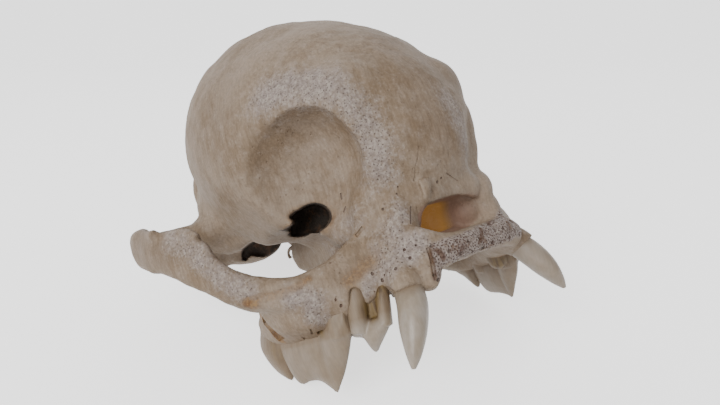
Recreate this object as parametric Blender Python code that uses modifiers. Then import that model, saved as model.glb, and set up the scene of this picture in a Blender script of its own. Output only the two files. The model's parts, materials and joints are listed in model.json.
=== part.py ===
"""Cranium of a small short-faced dog, resting on its back teeth and the two knobs of its neck joint.

Every size is in millimetres in the skull's own frame: the origin is on the midline at the front of the
palate, X points to the skull's left, Y to its back and Z to its crown, with the rims of the tooth sockets
near Z = 0. The empty "skull" then tips that frame back, as the palate rises at the front when the skull lies
on a table.
"""

import math

import bmesh
import bpy
import numpy as np
from mathutils import Matrix, Vector

MM = 0.001

# How the skull lies: the tip of the palate upwards, in degrees, and where the frame's origin then stands.
REST_PITCH = 30.5
REST_SHIFT = (0.0, -49.46, 25.31)

# Braincase: an egg whose long axis rises towards the back, blunter behind than in front.
VAULT_CENTRE = (0.0, 43.6, 42.0)
VAULT_HALF_WIDTH = 31.5
VAULT_FRONT = 46.8
VAULT_BACK = 38.0
VAULT_HALF_HEIGHT = 30.2
VAULT_PITCH = 27.5
BASE_LEVEL = 19.5
BASE_RISE = 8.0

# Eye sockets.
ORBIT_CENTRE = (30.5, 13.8, 26.0)
ORBIT_RADII = (16.8, 15.4, 15.2)

# Nose.
NOSTRIL_HALF_WIDTH = 9.0
NOSTRIL_FLOOR = 9.4

# Where the bones part, and the gap that each cut leaves.
PART_GAP = 0.3
ARCH_CUT = 34.2
JAW_CUT = ((0.0, 0.0, 24.5), -9.0)
FOREHEAD_CUT = ((0.0, 36.0, 72.0), -103.0)
OCCIPUT_CUT = ((0.0, 74.5, 40.0), -92.0)

# Fineness of the fused bone, and the triangles that it keeps before it is parted.
COARSE_VOXEL = 1.1
MEDIUM_VOXEL = 0.8
FINE_VOXEL = 0.65
TOOTH_VOXEL = 0.4
BONE_TRIANGLES = 8200
TOOTH_TRIANGLES = 1900

FAR = 130.0

BONE_COLOUR = (0.56, 0.49, 0.39, 1.0)


def clear_scene():
    for thing in list(bpy.data.objects):
        bpy.data.objects.remove(thing)


def collection_named(name):
    found = bpy.data.collections.new(name)
    bpy.context.scene.collection.children.link(found)
    return found


def object_from(name, builder, home):
    mesh = bpy.data.meshes.new(name)
    builder.to_mesh(mesh)
    builder.free()
    made = bpy.data.objects.new(name, mesh)
    home.objects.link(made)
    return made


def ball(home, centre, radii, pitch=0.0, yaw=0.0):
    """An ellipsoid, pitched about X and then yawed about Z, in degrees."""
    builder = bmesh.new()
    bmesh.ops.create_icosphere(builder, subdivisions=4, radius=1.0)
    spin = Matrix.Rotation(math.radians(yaw), 4, "Z") @ Matrix.Rotation(math.radians(pitch), 4, "X")
    place = Matrix.Translation(Vector(centre) * MM) @ spin @ Matrix.Diagonal((*(Vector(radii) * MM), 1.0))
    bmesh.ops.transform(builder, matrix=place, verts=builder.verts)
    return object_from("ball", builder, home)


def vault(home):
    """The egg of the braincase, whose front and back halves share one cross-section."""
    builder = bmesh.new()
    bmesh.ops.create_icosphere(builder, subdivisions=5, radius=1.0)
    for vert in builder.verts:
        x, y, z = vert.co
        length = VAULT_FRONT if y < 0 else VAULT_BACK
        vert.co = (x * VAULT_HALF_WIDTH, y * length, z * VAULT_HALF_HEIGHT)
    spin = Matrix.Rotation(math.radians(VAULT_PITCH), 4, "X")
    place = Matrix.Scale(MM, 4) @ Matrix.Translation(VAULT_CENTRE) @ spin
    bmesh.ops.transform(builder, matrix=place, verts=builder.verts)
    return object_from("vault", builder, home)


def block(home, point, pitch, low, high):
    """A box from low to high, in a frame at point that is pitched about X, in degrees."""
    builder = bmesh.new()
    bmesh.ops.create_cube(builder, size=1.0)
    middle = (Vector(low) + Vector(high)) / 2
    spin = Matrix.Rotation(math.radians(pitch), 4, "X")
    size = Matrix.Diagonal((*(Vector(high) - Vector(low)), 1.0))
    place = Matrix.Scale(MM, 4) @ Matrix.Translation(point) @ spin @ Matrix.Translation(middle) @ size
    bmesh.ops.transform(builder, matrix=place, verts=builder.verts)
    return object_from("block", builder, home)


def eased(rows, steps):
    """A smooth curve through rows of numbers, so that sizes change as gently as places do."""
    rows = np.array(rows, float)
    padded = np.vstack([2 * rows[0] - rows[1], rows, 2 * rows[-1] - rows[-2]])
    out = []
    for n in range(1, len(rows)):
        a, b, c, d = padded[n - 1 : n + 3]
        for t in np.linspace(0, 1, steps, endpoint=False):
            bend = (2 * a - 5 * b + 4 * c - d) * t**2 + (3 * b - a - 3 * c + d) * t**3
            out.append(b + 0.5 * ((c - a) * t + bend))
    out.append(rows[-1])
    return np.array(out)


def bar(home, sections, side=1, up=(0.0, 0.0, 1.0), fullness=2.0, upright=False, sides=20, steps=5):
    """A closed rod lofted through sections of (x, y, z, half width, half height).

    The half height lies along up, as near as the path allows, and the half width across it.
    A fullness of 2 makes the sections ellipses, more makes them boxy, and less makes them keen like a blade.
    Upright sections stay vertical where the path climbs.
    """
    rows = eased(sections, steps)
    points = rows[:, :3] * (side, 1, 1)
    sizes = np.maximum(rows[:, 3:5], 0.15)
    ways = np.gradient(points, axis=0) * (1, 1, 0 if upright else 1)
    builder = bmesh.new()
    rings = []
    for point, way, (wide, high) in zip(points, ways, sizes):
        way = Vector(way).normalized()
        across = way.cross(Vector(up)).normalized()
        rise = across.cross(way).normalized()
        ring = []
        for n in range(sides):
            angle = 2 * math.pi * n / sides
            aside = math.copysign(abs(math.cos(angle)) ** (2 / fullness), math.cos(angle))
            above = math.copysign(abs(math.sin(angle)) ** (2 / fullness), math.sin(angle))
            place = Vector(point) + across * (wide * aside) + rise * (high * above)
            ring.append(builder.verts.new(place * MM))
        rings.append(ring)
    for first, second in zip(rings, rings[1:]):
        for n in range(sides):
            m = (n + 1) % sides
            builder.faces.new((first[n], first[m], second[m], second[n]))
    builder.faces.new(rings[0])
    builder.faces.new(rings[-1])
    bmesh.ops.recalc_face_normals(builder, faces=builder.faces)
    bmesh.ops.triangulate(builder, faces=builder.faces)
    return object_from("bar", builder, home)


def settle(thing):
    """Replaces the object's mesh by what its modifiers make of it."""
    bpy.context.view_layer.update()
    graph = bpy.context.evaluated_depsgraph_get()
    mesh = bpy.data.meshes.new_from_object(thing.evaluated_get(graph))
    thing.modifiers.clear()
    thing.data = mesh


def combine(base, home, operation):
    """Joins a collection's pieces to base, or cuts them from it, and removes them."""
    step = base.modifiers.new(operation.lower(), "BOOLEAN")
    step.operation = operation
    step.operand_type = "COLLECTION"
    step.collection = home
    step.solver = "MANIFOLD"
    settle(base)
    for thing in list(home.objects):
        bpy.data.objects.remove(thing)
    bpy.data.collections.remove(home)


def soften(base, voxel, rounds):
    """Remeshes base in small even cells and relaxes them, which rounds its edges and fills its creases."""
    remesh = base.modifiers.new("cells", "REMESH")
    remesh.mode = "VOXEL"
    remesh.voxel_size = voxel * MM
    smooth = base.modifiers.new("relax", "SMOOTH")
    smooth.factor = 0.5
    smooth.iterations = rounds
    settle(base)


def thin_out(base, triangles):
    """Merges the flattest faces until about this many triangles are left."""
    step = base.modifiers.new("fewer faces", "DECIMATE")
    step.ratio = triangles / sum(len(face.vertices) - 2 for face in base.data.polygons)
    settle(base)


def largest_piece(thing):
    """Keeps only the largest closed surface of the mesh."""
    builder = bmesh.new()
    builder.from_mesh(thing.data)
    left = set(builder.verts)
    groups = []
    while left:
        stack = [left.pop()]
        group = set(stack)
        while stack:
            for edge in stack.pop().link_edges:
                for vert in edge.verts:
                    if vert in left:
                        left.remove(vert)
                        group.add(vert)
                        stack.append(vert)
        groups.append(group)
    keep = max(groups, key=len)
    bmesh.ops.delete(builder, geom=[vert for vert in builder.verts if vert not in keep], context="VERTS")
    builder.to_mesh(thing.data)
    builder.free()


def core_masses(home):
    """The forms with wide hollows between them: the nape, the base, the cheeks and the palate."""
    ball(home, (0, 69, 42), (23, 14, 18), pitch=30)
    bar(home, [(0, 4.5, 20, 9.5, 6.5), (0, 12, 18.5, 11, 9), (0, 28, 18.5, 11, 9),
               (0, 44, 21, 11, 6), (0, 60, 23, 10, 6), (0, 76, 28, 12, 7),
               (0, 83, 32, 12, 8)], fullness=3)
    bar(home, [(0, 1, 6, 14, 2.6), (0, 12, 6.5, 18, 2.4), (0, 26, 7, 22, 2.2), (0, 42, 8, 20, 2.0)])
    bar(home, [(-13.4, 4.6, 4.6, 2.6, 3.1), (-8, 2.2, 5, 3, 3.7), (0, 1.6, 5, 2.8, 3.5),
               (8, 2.2, 5, 3, 3.7), (13.4, 4.6, 4.6, 2.6, 3.1)])
    for side in (-1, 1):
        ball(home, (side * 9.1, 14.7, 38.1), (11.6, 11.6, 11.6))
        ball(home, (side * 17, 57, 33), (12.2, 16, 12), pitch=20)
        ball(home, (side * 24, 60, 27.5), (9, 9, 5.5))
        bar(home, [(12.2, 7, 4.6, 2.8, 4.4), (16.6, 11.6, 5.4, 3.6, 5), (22, 17, 5, 4.8, 6),
                   (26, 23, 4, 4.8, 6), (28.2, 29, 3.5, 4.4, 6), (27.6, 35, 3.5, 4.2, 6),
                   (25.4, 41, 5, 3.8, 4.8), (22, 45, 6.5, 2.6, 3.5)], side)
        bar(home, [(12.2, 6.6, 8, 3.8, 3.6), (11.2, 8.4, 14, 3.6, 3.4), (10.4, 9.4, 22, 3.8, 3.6),
                   (10.6, 10.6, 30, 4, 4)], side, up=(0, 1, 0))


def orbits(home):
    for side in (-1, 1):
        x, y, z = ORBIT_CENTRE
        ball(home, (side * x, y, z), ORBIT_RADII, yaw=side * -12)
        ball(home, (side * 24.5, 34, 12.5), (13.5, 15, 9))


def base_cutter(home):
    """Levels the underside of the braincase, which rises a little towards the back."""
    block(home, (0, 46, BASE_LEVEL), BASE_RISE, (-60, -6, -30), (60, 60, 0))


def added_forms(home):
    """Arches, crests, processes and plates, which keep sharper edges than the core masses."""
    for side in (-1, 1):
        # Cheek bone and arch, from the face round to the joint of the lower jaw.
        bar(home, [(22.6, 16.4, 6.4, 3.6, 3.2), (27, 18.6, 6.4, 3.2, 3.2), (31, 20.8, 7.4, 2.6, 3.2),
                   (34.4, 23.4, 9, 2.1, 3.0), (37, 26.6, 11, 1.8, 3.2), (38.8, 29.6, 13.4, 1.7, 3.6),
                   (40.4, 33, 16.6, 1.8, 4.2), (42.2, 37, 19.6, 1.9, 4.1), (43.9, 42.5, 22.4, 1.9, 3.9),
                   (45.0, 48.5, 24.6, 2.0, 4.2), (44.8, 55, 26.3, 2.4, 4.7), (43, 60, 27.2, 3.0, 3.8),
                   (39, 63, 28.3, 4.0, 2.8), (34, 64.5, 28.7, 5, 2.4), (29, 65, 28.7, 6.2, 2.6),
                   (22, 65, 28.5, 7, 3.4)], side, fullness=2.8)
        bar(home, [(39.4, 32, 15, 1.4, 3), (39.6, 31.6, 19, 1.4, 2.6), (39.8, 31.2, 22, 1.2, 1.6)], side,
            up=(0, 1, 0))
        bar(home, [(26.5, 18.5, 3.6, 3.4, 4.2), (29.6, 23.5, 4.2, 3.4, 4.6), (30.6, 28.5, 5, 2.8, 4.4),
                   (29.6, 34, 5.6, 2.2, 3.8)], side)
        ball(home, (side * 13.2, 12.6, 16.5), (4.4, 4.4, 6))
        ball(home, (side * 14.6, 8, 5), (3.8, 3.8, 4))
        # Joint surface for the lower jaw, with the stop behind it.
        bar(home, [(33, 66, 24, 3, 2.5), (28, 67, 21.8, 3, 3), (22, 67, 22.3, 3, 3.2)], side)
        # Lower edge of the side wall, in front of the joint.
        bar(home, [(15, 38, 21, 1.6, 1.6), (20, 45, 21.8, 1.8, 1.8), (23, 53, 22.6, 2.4, 2),
                   (26, 60, 23.6, 3, 2.6)], side)
        # Rim of the eye socket, from the brow down the face and out along the cheek.
        bar(home, [(25.4, 21.5, 40.8, 1.3, 1.4), (22, 15.2, 39, 1.5, 1.6), (19.9, 12.6, 38.3, 1.6, 1.6),
                   (17.6, 10.1, 36.6, 1.6, 1.6), (15.3, 8.8, 33.6, 1.7, 1.7), (13.6, 8.7, 29.3, 1.8, 1.8),
                   (12.7, 9.8, 24.3, 1.8, 1.8), (13.3, 11.6, 18.5, 1.9, 1.9), (15.4, 13.4, 14, 2, 2),
                   (19, 15.1, 10.8, 2.2, 2.1), (24, 17, 8.9, 2.3, 2.1), (28.4, 19, 8.2, 2.2, 2.2)], side)
        # Crest across the back of the head.
        bar(home, [(22.5, 67, 31, 2, 1.8), (23, 71.5, 38, 2, 1.8), (21, 75.5, 46, 2, 1.8),
                   (15, 78.6, 53, 2, 1.8), (7, 80, 57, 2, 1.8), (-2, 80.4, 58, 2, 2)], side)
        # Ear capsule, neck joint and the process beside it.
        ball(home, (side * 16, 64.5, 22.4), (8, 10, 4.8), yaw=side * -12)
        bar(home, [(5.5, 79.5, 23.8, 3, 3.2), (8.5, 83, 23.8, 3.6, 4.2), (10, 86, 29.2, 3.2, 4.4),
                   (9.5, 86, 35, 2.2, 3)], side, up=(1, 0, 0))
        bar(home, [(19, 72, 32, 5, 5), (20, 75.5, 26, 3, 2.8), (20.4, 77.6, 21.6, 1.5, 1.5)], side,
            up=(0, 1, 0))
        # Side walls of the throat, with a hook at the end.
        bar(home, [(11, 30, 14, 2, 6), (11, 38, 14.2, 1.4, 6.5), (10.8, 46, 15.2, 1.2, 5.6),
                   (10.5, 52.5, 16, 1.0, 4.2)], side)
        bar(home, [(10.3, 51, 16, 0.9, 1.6), (10.3, 55, 15.4, 0.9, 1.2), (10.5, 57, 14.2, 0.8, 0.9)], side)
    bar(home, [(0, 80, 57, 5, 4), (0, 83, 50, 3, 2.6), (0, 84, 44, 2, 2)], up=(0, 1, 0))


def hollows(home):
    """The nose and throat, and the holes that nerves and the spinal cord pass through."""
    half = NOSTRIL_HALF_WIDTH
    floor = NOSTRIL_FLOOR
    bar(home, [(0.6, -12, floor + 3.3, half, 3.3), (0.6, 0, floor + 3.3, half, 3.3),
               (0.3, 8, floor + 4, half - 0.8, 4), (0, 18, floor + 5, half - 2.4, 5),
               (0, 34, floor + 4.2, 6, 4.4), (0, 45, floor + 1.2, 6.8, 5.5), (0, 62, floor - 3.8, 7.5, 9)],
        fullness=2.4)
    ball(home, (0, 90, 37), (8.2, 15, 7.5), pitch=30)
    bar(home, [(0, -4, 0, 9, 3), (0, 10, 0.5, 14, 4), (0, 26, 1, 19, 4.5), (0, 46, 1, 18, 5)])
    for side in (-1, 1):
        bar(home, [(25, 18.4, 19.6, 5, 4.6), (19, 27, 20.8, 5.2, 4.8), (14.6, 33, 21.6, 5.2, 4.8),
                   (10.6, 39.5, 22.2, 4, 3.8)], side)
        bar(home, [(27, 47, 18, 8, 3.2), (20, 51, 19.8, 8, 3.6), (14, 55, 21.8, 5, 3)], side)
        ball(home, (side * 28, 61, 19), (8, 3.6, 3.4))


def canine(home, side):
    bar(home, [(13.6, 10, 9, 2, 2.2), (15.4, 7.2, 3.4, 2.6, 2.8), (17.2, 4.9, -0.5, 2.7, 2.9),
               (19.2, 4, -4.2, 2.3, 2.5), (21, 3.6, -7.6, 1.4, 1.5), (22.2, 3.5, -9.9, 0.4, 0.4)], side,
        up=(0, 1, 0))


def crown(home, side, profile, top, fullness=1.5):
    """A crown along the row of teeth: profile lists x, y, the lowest point there and the half width."""
    bar(home, [(x, y, (low + top) / 2, wide, (top - low) / 2) for x, y, low, wide in profile], side,
        fullness=fullness, upright=True, steps=4)


def root(home, side, x, y, low, high, radius, lean=0.0):
    """A root that tapers up into the bone and leans towards the midline by lean."""
    bar(home, [(x, y, low, radius, radius), (x - lean / 2, y, (low + high) / 2, radius, radius),
               (x - lean, y, high, radius * 0.6, radius * 0.6)], side, up=(0, 1, 0))


def premolar(home, side):
    crown(home, side, [(19.4, 9, -2.6, 0.6), (20, 10.2, -4, 1.3), (21, 12.6, -5.6, 1.4),
                       (21.5, 13.6, -6.7, 1.1), (22, 15, -4.7, 1.3), (22.5, 16.4, -4.4, 1.2),
                       (22.7, 17.4, -2.8, 0.6)], 0.6)
    root(home, side, 20, 10, -1.8, 7, 1.8, 1)
    root(home, side, 22.5, 16.2, -1.8, 7, 1.8, 1)


def carnassial(home, side):
    raised = 0.8 if side > 0 else 0.0
    crown(home, side, [(24.2, 14.8, -2.4, 1.0), (24.8, 16.4, -5.4, 1.7), (25.6, 18.8, -9, 2.0),
                       (26.3, 20.8, -11.4, 1.6), (26.7, 21.8, -12.5, 1.1), (27, 22.8, -11.5, 1.5),
                       (27.5, 25, -10.0, 1.9), (28.2, 27.6, -9.7, 2.0), (28.9, 30.2, -10.1 + raised, 1.8),
                       (29.2, 31.8, -8.7 + raised, 1.4), (29.3, 32.7, -4.6, 0.7)], 2.4)
    bar(home, [(21, 18, 5, 1.8, 2.2), (21.6, 17.6, -1, 2, 2.4), (22.2, 17.6, -4.6, 0.7, 0.8)], side,
        up=(0, 1, 0))
    root(home, side, 25.2, 17.4, -3, 7, 2.2, 2)
    root(home, side, 28, 28.4, -3, 7, 2.4, 2)


def molar(home, side):
    raised = 1.4 if side > 0 else 0.0
    crown(home, side, [(29, 32, -5 + raised, 1.2), (29.2, 33.4, -9 + raised, 2.1),
                       (29.6, 35.4, -8.4 + raised, 2.3), (29.6, 37.4, -7.4 + raised, 2.2),
                       (29.2, 39.6, -5.6, 2), (28.6, 41.8, -2.4, 1.2)], 2.4)
    bar(home, [(28, 36, -0.6, 4, 3.2), (24, 36.8, -0.2, 3.6, 2.8), (20, 37.4, 0, 2.8, 2.6),
               (18, 37.6, 0.4, 1.6, 1.8)], side)
    root(home, side, 29, 34, -2, 7, 2.0, 2)
    root(home, side, 28.8, 39.6, -2, 7, 1.9, 1.4)
    root(home, side, 20, 37.4, 0, 7, 2.2)


def last_molar(home, side):
    bar(home, [(26.6, 42.4, 1.8, 1.0, 1.4), (24.6, 43.2, 1.2, 2.0, 2.4), (21, 42.8, 1.6, 1.8, 1.8),
               (19.4, 42.4, 2, 1, 1)], side)
    root(home, side, 24.6, 43.2, 1, 7, 1.5)
    root(home, side, 21.4, 42.8, 1, 7, 1.5)


def teeth(home):
    """All the teeth as one mesh, with each tooth's cusps and roots grown together.

    The small tooth in front of the carnassial is there on the right only.
    """
    forms = collection_named("tooth forms")
    for side in (-1, 1):
        for maker in (canine, carnassial, molar, last_molar):
            maker(forms, side)
    premolar(forms, -1)
    seed = ball(home, (0, 30, 7), (1, 1, 1))
    seed.name = "teeth"
    combine(seed, forms, "UNION")
    soften(seed, TOOTH_VOXEL, 2)
    thin_out(seed, TOOTH_TRIANGLES)
    return seed


def skull_bone(home):
    """The whole cranium as one closed surface, before it is parted."""
    bone = vault(home)
    forms = collection_named("core masses")
    core_masses(forms)
    combine(bone, forms, "UNION")
    cutters = collection_named("orbit cutters")
    orbits(cutters)
    base_cutter(cutters)
    combine(bone, cutters, "DIFFERENCE")
    soften(bone, COARSE_VOXEL, 6)
    forms = collection_named("added forms")
    added_forms(forms)
    combine(bone, forms, "UNION")
    soften(bone, MEDIUM_VOXEL, 4)
    cutters = collection_named("hollow cutters")
    hollows(cutters)
    combine(bone, cutters, "DIFFERENCE")
    soften(bone, FINE_VOXEL, 2)
    largest_piece(bone)
    thin_out(bone, BONE_TRIANGLES)
    return bone


def trimmed(name, whole, home, blocks):
    """A copy of the whole skull that keeps only what lies outside the blocks."""
    piece = bpy.data.objects.new(name, whole.data.copy())
    home.objects.link(piece)
    cutters = collection_named("cuts for " + name)
    for point, pitch, low, high in blocks:
        block(cutters, point, pitch, low, high)
    combine(piece, cutters, "DIFFERENCE")
    largest_piece(piece)
    return piece


def both_faces(cut):
    """The blocks that reach up to and down to a cut, across the gap, so that each leaves half of it open."""
    point, pitch = cut
    half = PART_GAP / 2
    below = (point, pitch, (-FAR, -FAR, -FAR), (FAR, FAR, half))
    above = (point, pitch, (-FAR, -FAR, -half), (FAR, FAR, FAR))
    return below, above


def part_bones(whole, home):
    """Parts the skull with thin cuts where its bones meet, and returns the pieces."""
    below_jaw_cut, above_jaw_cut = both_faces(JAW_CUT)
    forehead_side, crown_side = both_faces(FOREHEAD_CUT)
    crown_part, neck_side = both_faces(OCCIPUT_CUT)
    inner = ARCH_CUT - PART_GAP / 2
    outer = ARCH_CUT + PART_GAP / 2
    right_arch = ((0, 0, 0), 0, (-FAR, -FAR, -FAR), (-inner, FAR, FAR))
    left_arch = ((0, 0, 0), 0, (inner, -FAR, -FAR), (FAR, FAR, FAR))
    left_of_right_arch = ((0, 0, 0), 0, (-outer, -FAR, -FAR), (FAR, FAR, FAR))
    right_of_left_arch = ((0, 0, 0), 0, (-FAR, -FAR, -FAR), (outer, FAR, FAR))
    return [
        trimmed("upper_jaw", whole, home, [above_jaw_cut, right_arch, left_arch]),
        trimmed("frontal_bone", whole, home, [below_jaw_cut, crown_side, right_arch, left_arch]),
        trimmed("braincase", whole, home, [below_jaw_cut, forehead_side, neck_side, right_arch, left_arch]),
        trimmed("occiput", whole, home, [crown_part]),
        trimmed("zygomatic_arch_right", whole, home, [left_of_right_arch]),
        trimmed("zygomatic_arch_left", whole, home, [right_of_left_arch]),
    ]


def finish(thing, frame, colour, roughness):
    """Gives a bone its own finish and hangs it on the frame of the skull."""
    finish_of = bpy.data.materials.new(thing.name)
    finish_of.use_nodes = True
    shader = finish_of.node_tree.nodes["Principled BSDF"]
    shader.inputs["Base Color"].default_value = colour
    shader.inputs["Roughness"].default_value = roughness
    thing.data.materials.clear()
    thing.data.materials.append(finish_of)
    thing.data.shade_smooth()
    thing.data.set_sharp_from_angle(angle=math.radians(50))
    thing.parent = frame


def main():
    clear_scene()
    home = collection_named("dog skull")
    frame = bpy.data.objects.new("skull", None)
    home.objects.link(frame)
    bone = skull_bone(home)
    bone.name = "bone"
    tooth_home = collection_named("teeth")
    teeth(tooth_home)
    combine(bone, tooth_home, "UNION")
    largest_piece(bone)
    for piece in part_bones(bone, home):
        finish(piece, frame, BONE_COLOUR, 0.6)
    bpy.data.objects.remove(bone)
    frame.rotation_euler = (-math.radians(REST_PITCH), 0.0, 0.0)
    frame.location = Vector(REST_SHIFT) * MM


main()
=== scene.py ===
# %% [markdown]
# # The skull of a small dog
#
# This lesson dresses a measured model of a cranium so that it looks like old, clean bone. The measured model
# comes first and stays as it is: it says how large the skull is and where each bone ends. Everything made here
# fits that frame.

# %% The measured model
import json
import math

import bmesh
import bpy
import numpy as np
from mathutils import Matrix, Vector, kdtree, noise

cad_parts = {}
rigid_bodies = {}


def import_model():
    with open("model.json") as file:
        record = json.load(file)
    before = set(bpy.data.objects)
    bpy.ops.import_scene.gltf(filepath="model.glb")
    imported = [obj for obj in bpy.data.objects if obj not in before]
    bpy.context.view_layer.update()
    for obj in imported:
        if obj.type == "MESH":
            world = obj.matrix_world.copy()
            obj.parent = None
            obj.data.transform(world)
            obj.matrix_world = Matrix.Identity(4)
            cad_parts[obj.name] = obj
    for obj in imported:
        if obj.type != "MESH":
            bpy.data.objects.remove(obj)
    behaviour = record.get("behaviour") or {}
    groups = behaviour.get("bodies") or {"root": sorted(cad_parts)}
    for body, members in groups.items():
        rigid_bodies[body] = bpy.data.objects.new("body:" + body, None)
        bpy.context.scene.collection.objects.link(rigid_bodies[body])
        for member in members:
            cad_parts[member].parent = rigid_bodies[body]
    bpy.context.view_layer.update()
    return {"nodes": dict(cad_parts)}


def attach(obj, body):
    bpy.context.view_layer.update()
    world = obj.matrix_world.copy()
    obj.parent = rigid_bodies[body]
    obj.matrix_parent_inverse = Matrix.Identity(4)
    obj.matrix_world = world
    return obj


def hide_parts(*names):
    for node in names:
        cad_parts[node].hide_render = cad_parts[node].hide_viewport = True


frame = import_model()
bones = sorted(frame["nodes"])
print("bones in the measured model:", ", ".join(bones))

# %% [markdown]
# ## The camera
#
# The skull lies on a table and is seen from its right, in front and a little above. A camera can be placed by hand
# and nudged until the picture looks right. Here its place comes from measured points instead: where it stands,
# which way it looks, and a lens whose angle was worked out from the same points.

# %% The camera
CAMERA_PLACE = Vector((-0.0694, -0.09765, 0.06368))
CAMERA_FORWARD = Vector((0.590, 0.748, -0.305)).normalized()
LENS_MM = 24.445

camera = bpy.data.objects.new("camera", bpy.data.cameras.new("camera"))
bpy.context.scene.collection.objects.link(camera)
camera.data.sensor_width = 36.0
camera.data.lens = LENS_MM
camera.data.clip_start = 0.001
camera.location = CAMERA_PLACE
camera.rotation_euler = CAMERA_FORWARD.to_track_quat("-Z", "Y").to_euler()
bpy.context.scene.camera = camera
print("camera looks", [round(v, 3) for v in CAMERA_FORWARD])

# %% [markdown]
# ## A frame of the skull's own
#
# It is easiest to describe a skull with its palate level: X to its left, Y to its back, Z to its crown, in
# millimetres. On the table the skull tips back, because the long upper teeth lift the face. One matrix carries
# finished shapes from the first frame to the second.

# %% The skull's own frame
MM = 0.001
REST_PITCH = 30.5
REST_SHIFT = Vector((0.0, -49.46, 25.31))

AT_REST = Matrix.Translation(REST_SHIFT * MM) @ Matrix.Rotation(math.radians(-REST_PITCH), 4, "X")
print("the palate rises", REST_PITCH, "degrees to the front")

# %% [markdown]
# ## Balls, bars and blocks
#
# Bone has few flat faces: it swells, narrows and twists. Sculpting by hand would give such forms, but not in a
# way that can be measured or changed later. Instead the skull grows from two kinds of form, balls and bars, and
# blocks only cut. A ball is an icosphere that one matrix stretches, turns and puts in its place.


# %% Balls and blocks
def new_home(name):
    home = bpy.data.collections.new(name)
    bpy.context.scene.collection.children.link(home)
    return home


def object_from(name, builder, home):
    mesh = bpy.data.meshes.new(name)
    builder.to_mesh(mesh)
    builder.free()
    made = bpy.data.objects.new(name, mesh)
    home.objects.link(made)
    return made


def ball(home, centre, radii, pitch=0.0, yaw=0.0, front=1.0):
    """An ellipsoid, pitched about X and then yawed about Z. Its front half can be longer than its back."""
    builder = bmesh.new()
    bmesh.ops.create_icosphere(builder, subdivisions=5 if max(radii) > 1 else 2, radius=1.0)
    for vert in builder.verts:
        if vert.co.y < 0:
            vert.co.y *= front
    spin = Matrix.Rotation(math.radians(yaw), 4, "Z") @ Matrix.Rotation(math.radians(pitch), 4, "X")
    place = Matrix.Translation(Vector(centre) * MM) @ spin @ Matrix.Diagonal((*(Vector(radii) * MM), 1.0))
    bmesh.ops.transform(builder, matrix=place, verts=builder.verts)
    return object_from("ball", builder, home)


def block(home, point, pitch, low, high):
    """A box from low to high, in a frame at point that is pitched about X, in degrees."""
    builder = bmesh.new()
    bmesh.ops.create_cube(builder, size=1.0)
    middle = (Vector(low) + Vector(high)) / 2
    spin = Matrix.Rotation(math.radians(pitch), 4, "X")
    size = Matrix.Diagonal((*(Vector(high) - Vector(low)), 1.0))
    place = Matrix.Scale(MM, 4) @ Matrix.Translation(point) @ spin @ Matrix.Translation(middle) @ size
    bmesh.ops.transform(builder, matrix=place, verts=builder.verts)
    return object_from("block", builder, home)


print("forms: ball and block")

# %% [markdown]
# ## Bars
#
# Arches, crests and roots are long, and they thicken and thin on the way. A curve object with a bevel could follow
# the path, but its section would stay round. A bar is lofted instead: a ring of points at each of many
# cross-sections, and faces from ring to ring. A smooth curve through the list of sections keeps the sizes as even
# as the path.


# %% Bars
def eased(rows, steps):
    """A smooth curve through rows of numbers, so that sizes change as gently as places do."""
    rows = np.array(rows, float)
    padded = np.vstack([2 * rows[0] - rows[1], rows, 2 * rows[-1] - rows[-2]])
    out = []
    for n in range(1, len(rows)):
        a, b, c, d = padded[n - 1 : n + 3]
        for t in np.linspace(0, 1, steps, endpoint=False):
            bend = (2 * a - 5 * b + 4 * c - d) * t**2 + (3 * b - a - 3 * c + d) * t**3
            out.append(b + 0.5 * ((c - a) * t + bend))
    out.append(rows[-1])
    return np.array(out)


def bar(home, sections, side=1, up=(0, 0, 1), fullness=2.0, upright=False, sides=24, steps=6):
    """A closed rod lofted through sections of (x, y, z, half width, half height), in millimetres.

    A fullness of 2 makes the sections ellipses, more makes them boxy, and less makes them keen like a blade.
    """
    rows = eased(sections, steps)
    points = rows[:, :3] * (side, 1, 1)
    sizes = np.maximum(rows[:, 3:5], 0.15)
    ways = np.gradient(points, axis=0) * (1, 1, 0 if upright else 1)
    builder = bmesh.new()
    rings = []
    for point, way, (wide, high) in zip(points, ways, sizes):
        way = Vector(way).normalized()
        across = way.cross(Vector(up)).normalized()
        rise = across.cross(way).normalized()
        ring = []
        for n in range(sides):
            angle = 2 * math.pi * n / sides
            aside = math.copysign(abs(math.cos(angle)) ** (2 / fullness), math.cos(angle))
            above = math.copysign(abs(math.sin(angle)) ** (2 / fullness), math.sin(angle))
            place = Vector(point) + across * (wide * aside) + rise * (high * above)
            ring.append(builder.verts.new(place * MM))
        rings.append(ring)
    for first, second in zip(rings, rings[1:]):
        for n in range(sides):
            m = (n + 1) % sides
            builder.faces.new((first[n], first[m], second[m], second[n]))
    builder.faces.new(rings[0])
    builder.faces.new(rings[-1])
    bmesh.ops.recalc_face_normals(builder, faces=builder.faces)
    bmesh.ops.triangulate(builder, faces=builder.faces)
    return object_from("bar", builder, home)


print("one more form: bar")

# %% [markdown]
# ## Growing forms together
#
# A Boolean joins or cuts whole shapes, but leaves a crease where two forms meet. Real bone flows from one form to
# the next. A voxel remesh followed by smoothing gives that flow: the remesh covers the joined forms in even cells,
# and each round of smoothing rounds every crease a little more. Broad masses get many rounds, thin crests few.


# %% Helpers that join, cut and smooth
def settle(thing):
    """Replaces the object's mesh by what its modifiers make of it."""
    bpy.context.view_layer.update()
    graph = bpy.context.evaluated_depsgraph_get()
    mesh = bpy.data.meshes.new_from_object(thing.evaluated_get(graph))
    thing.modifiers.clear()
    thing.data = mesh


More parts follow.
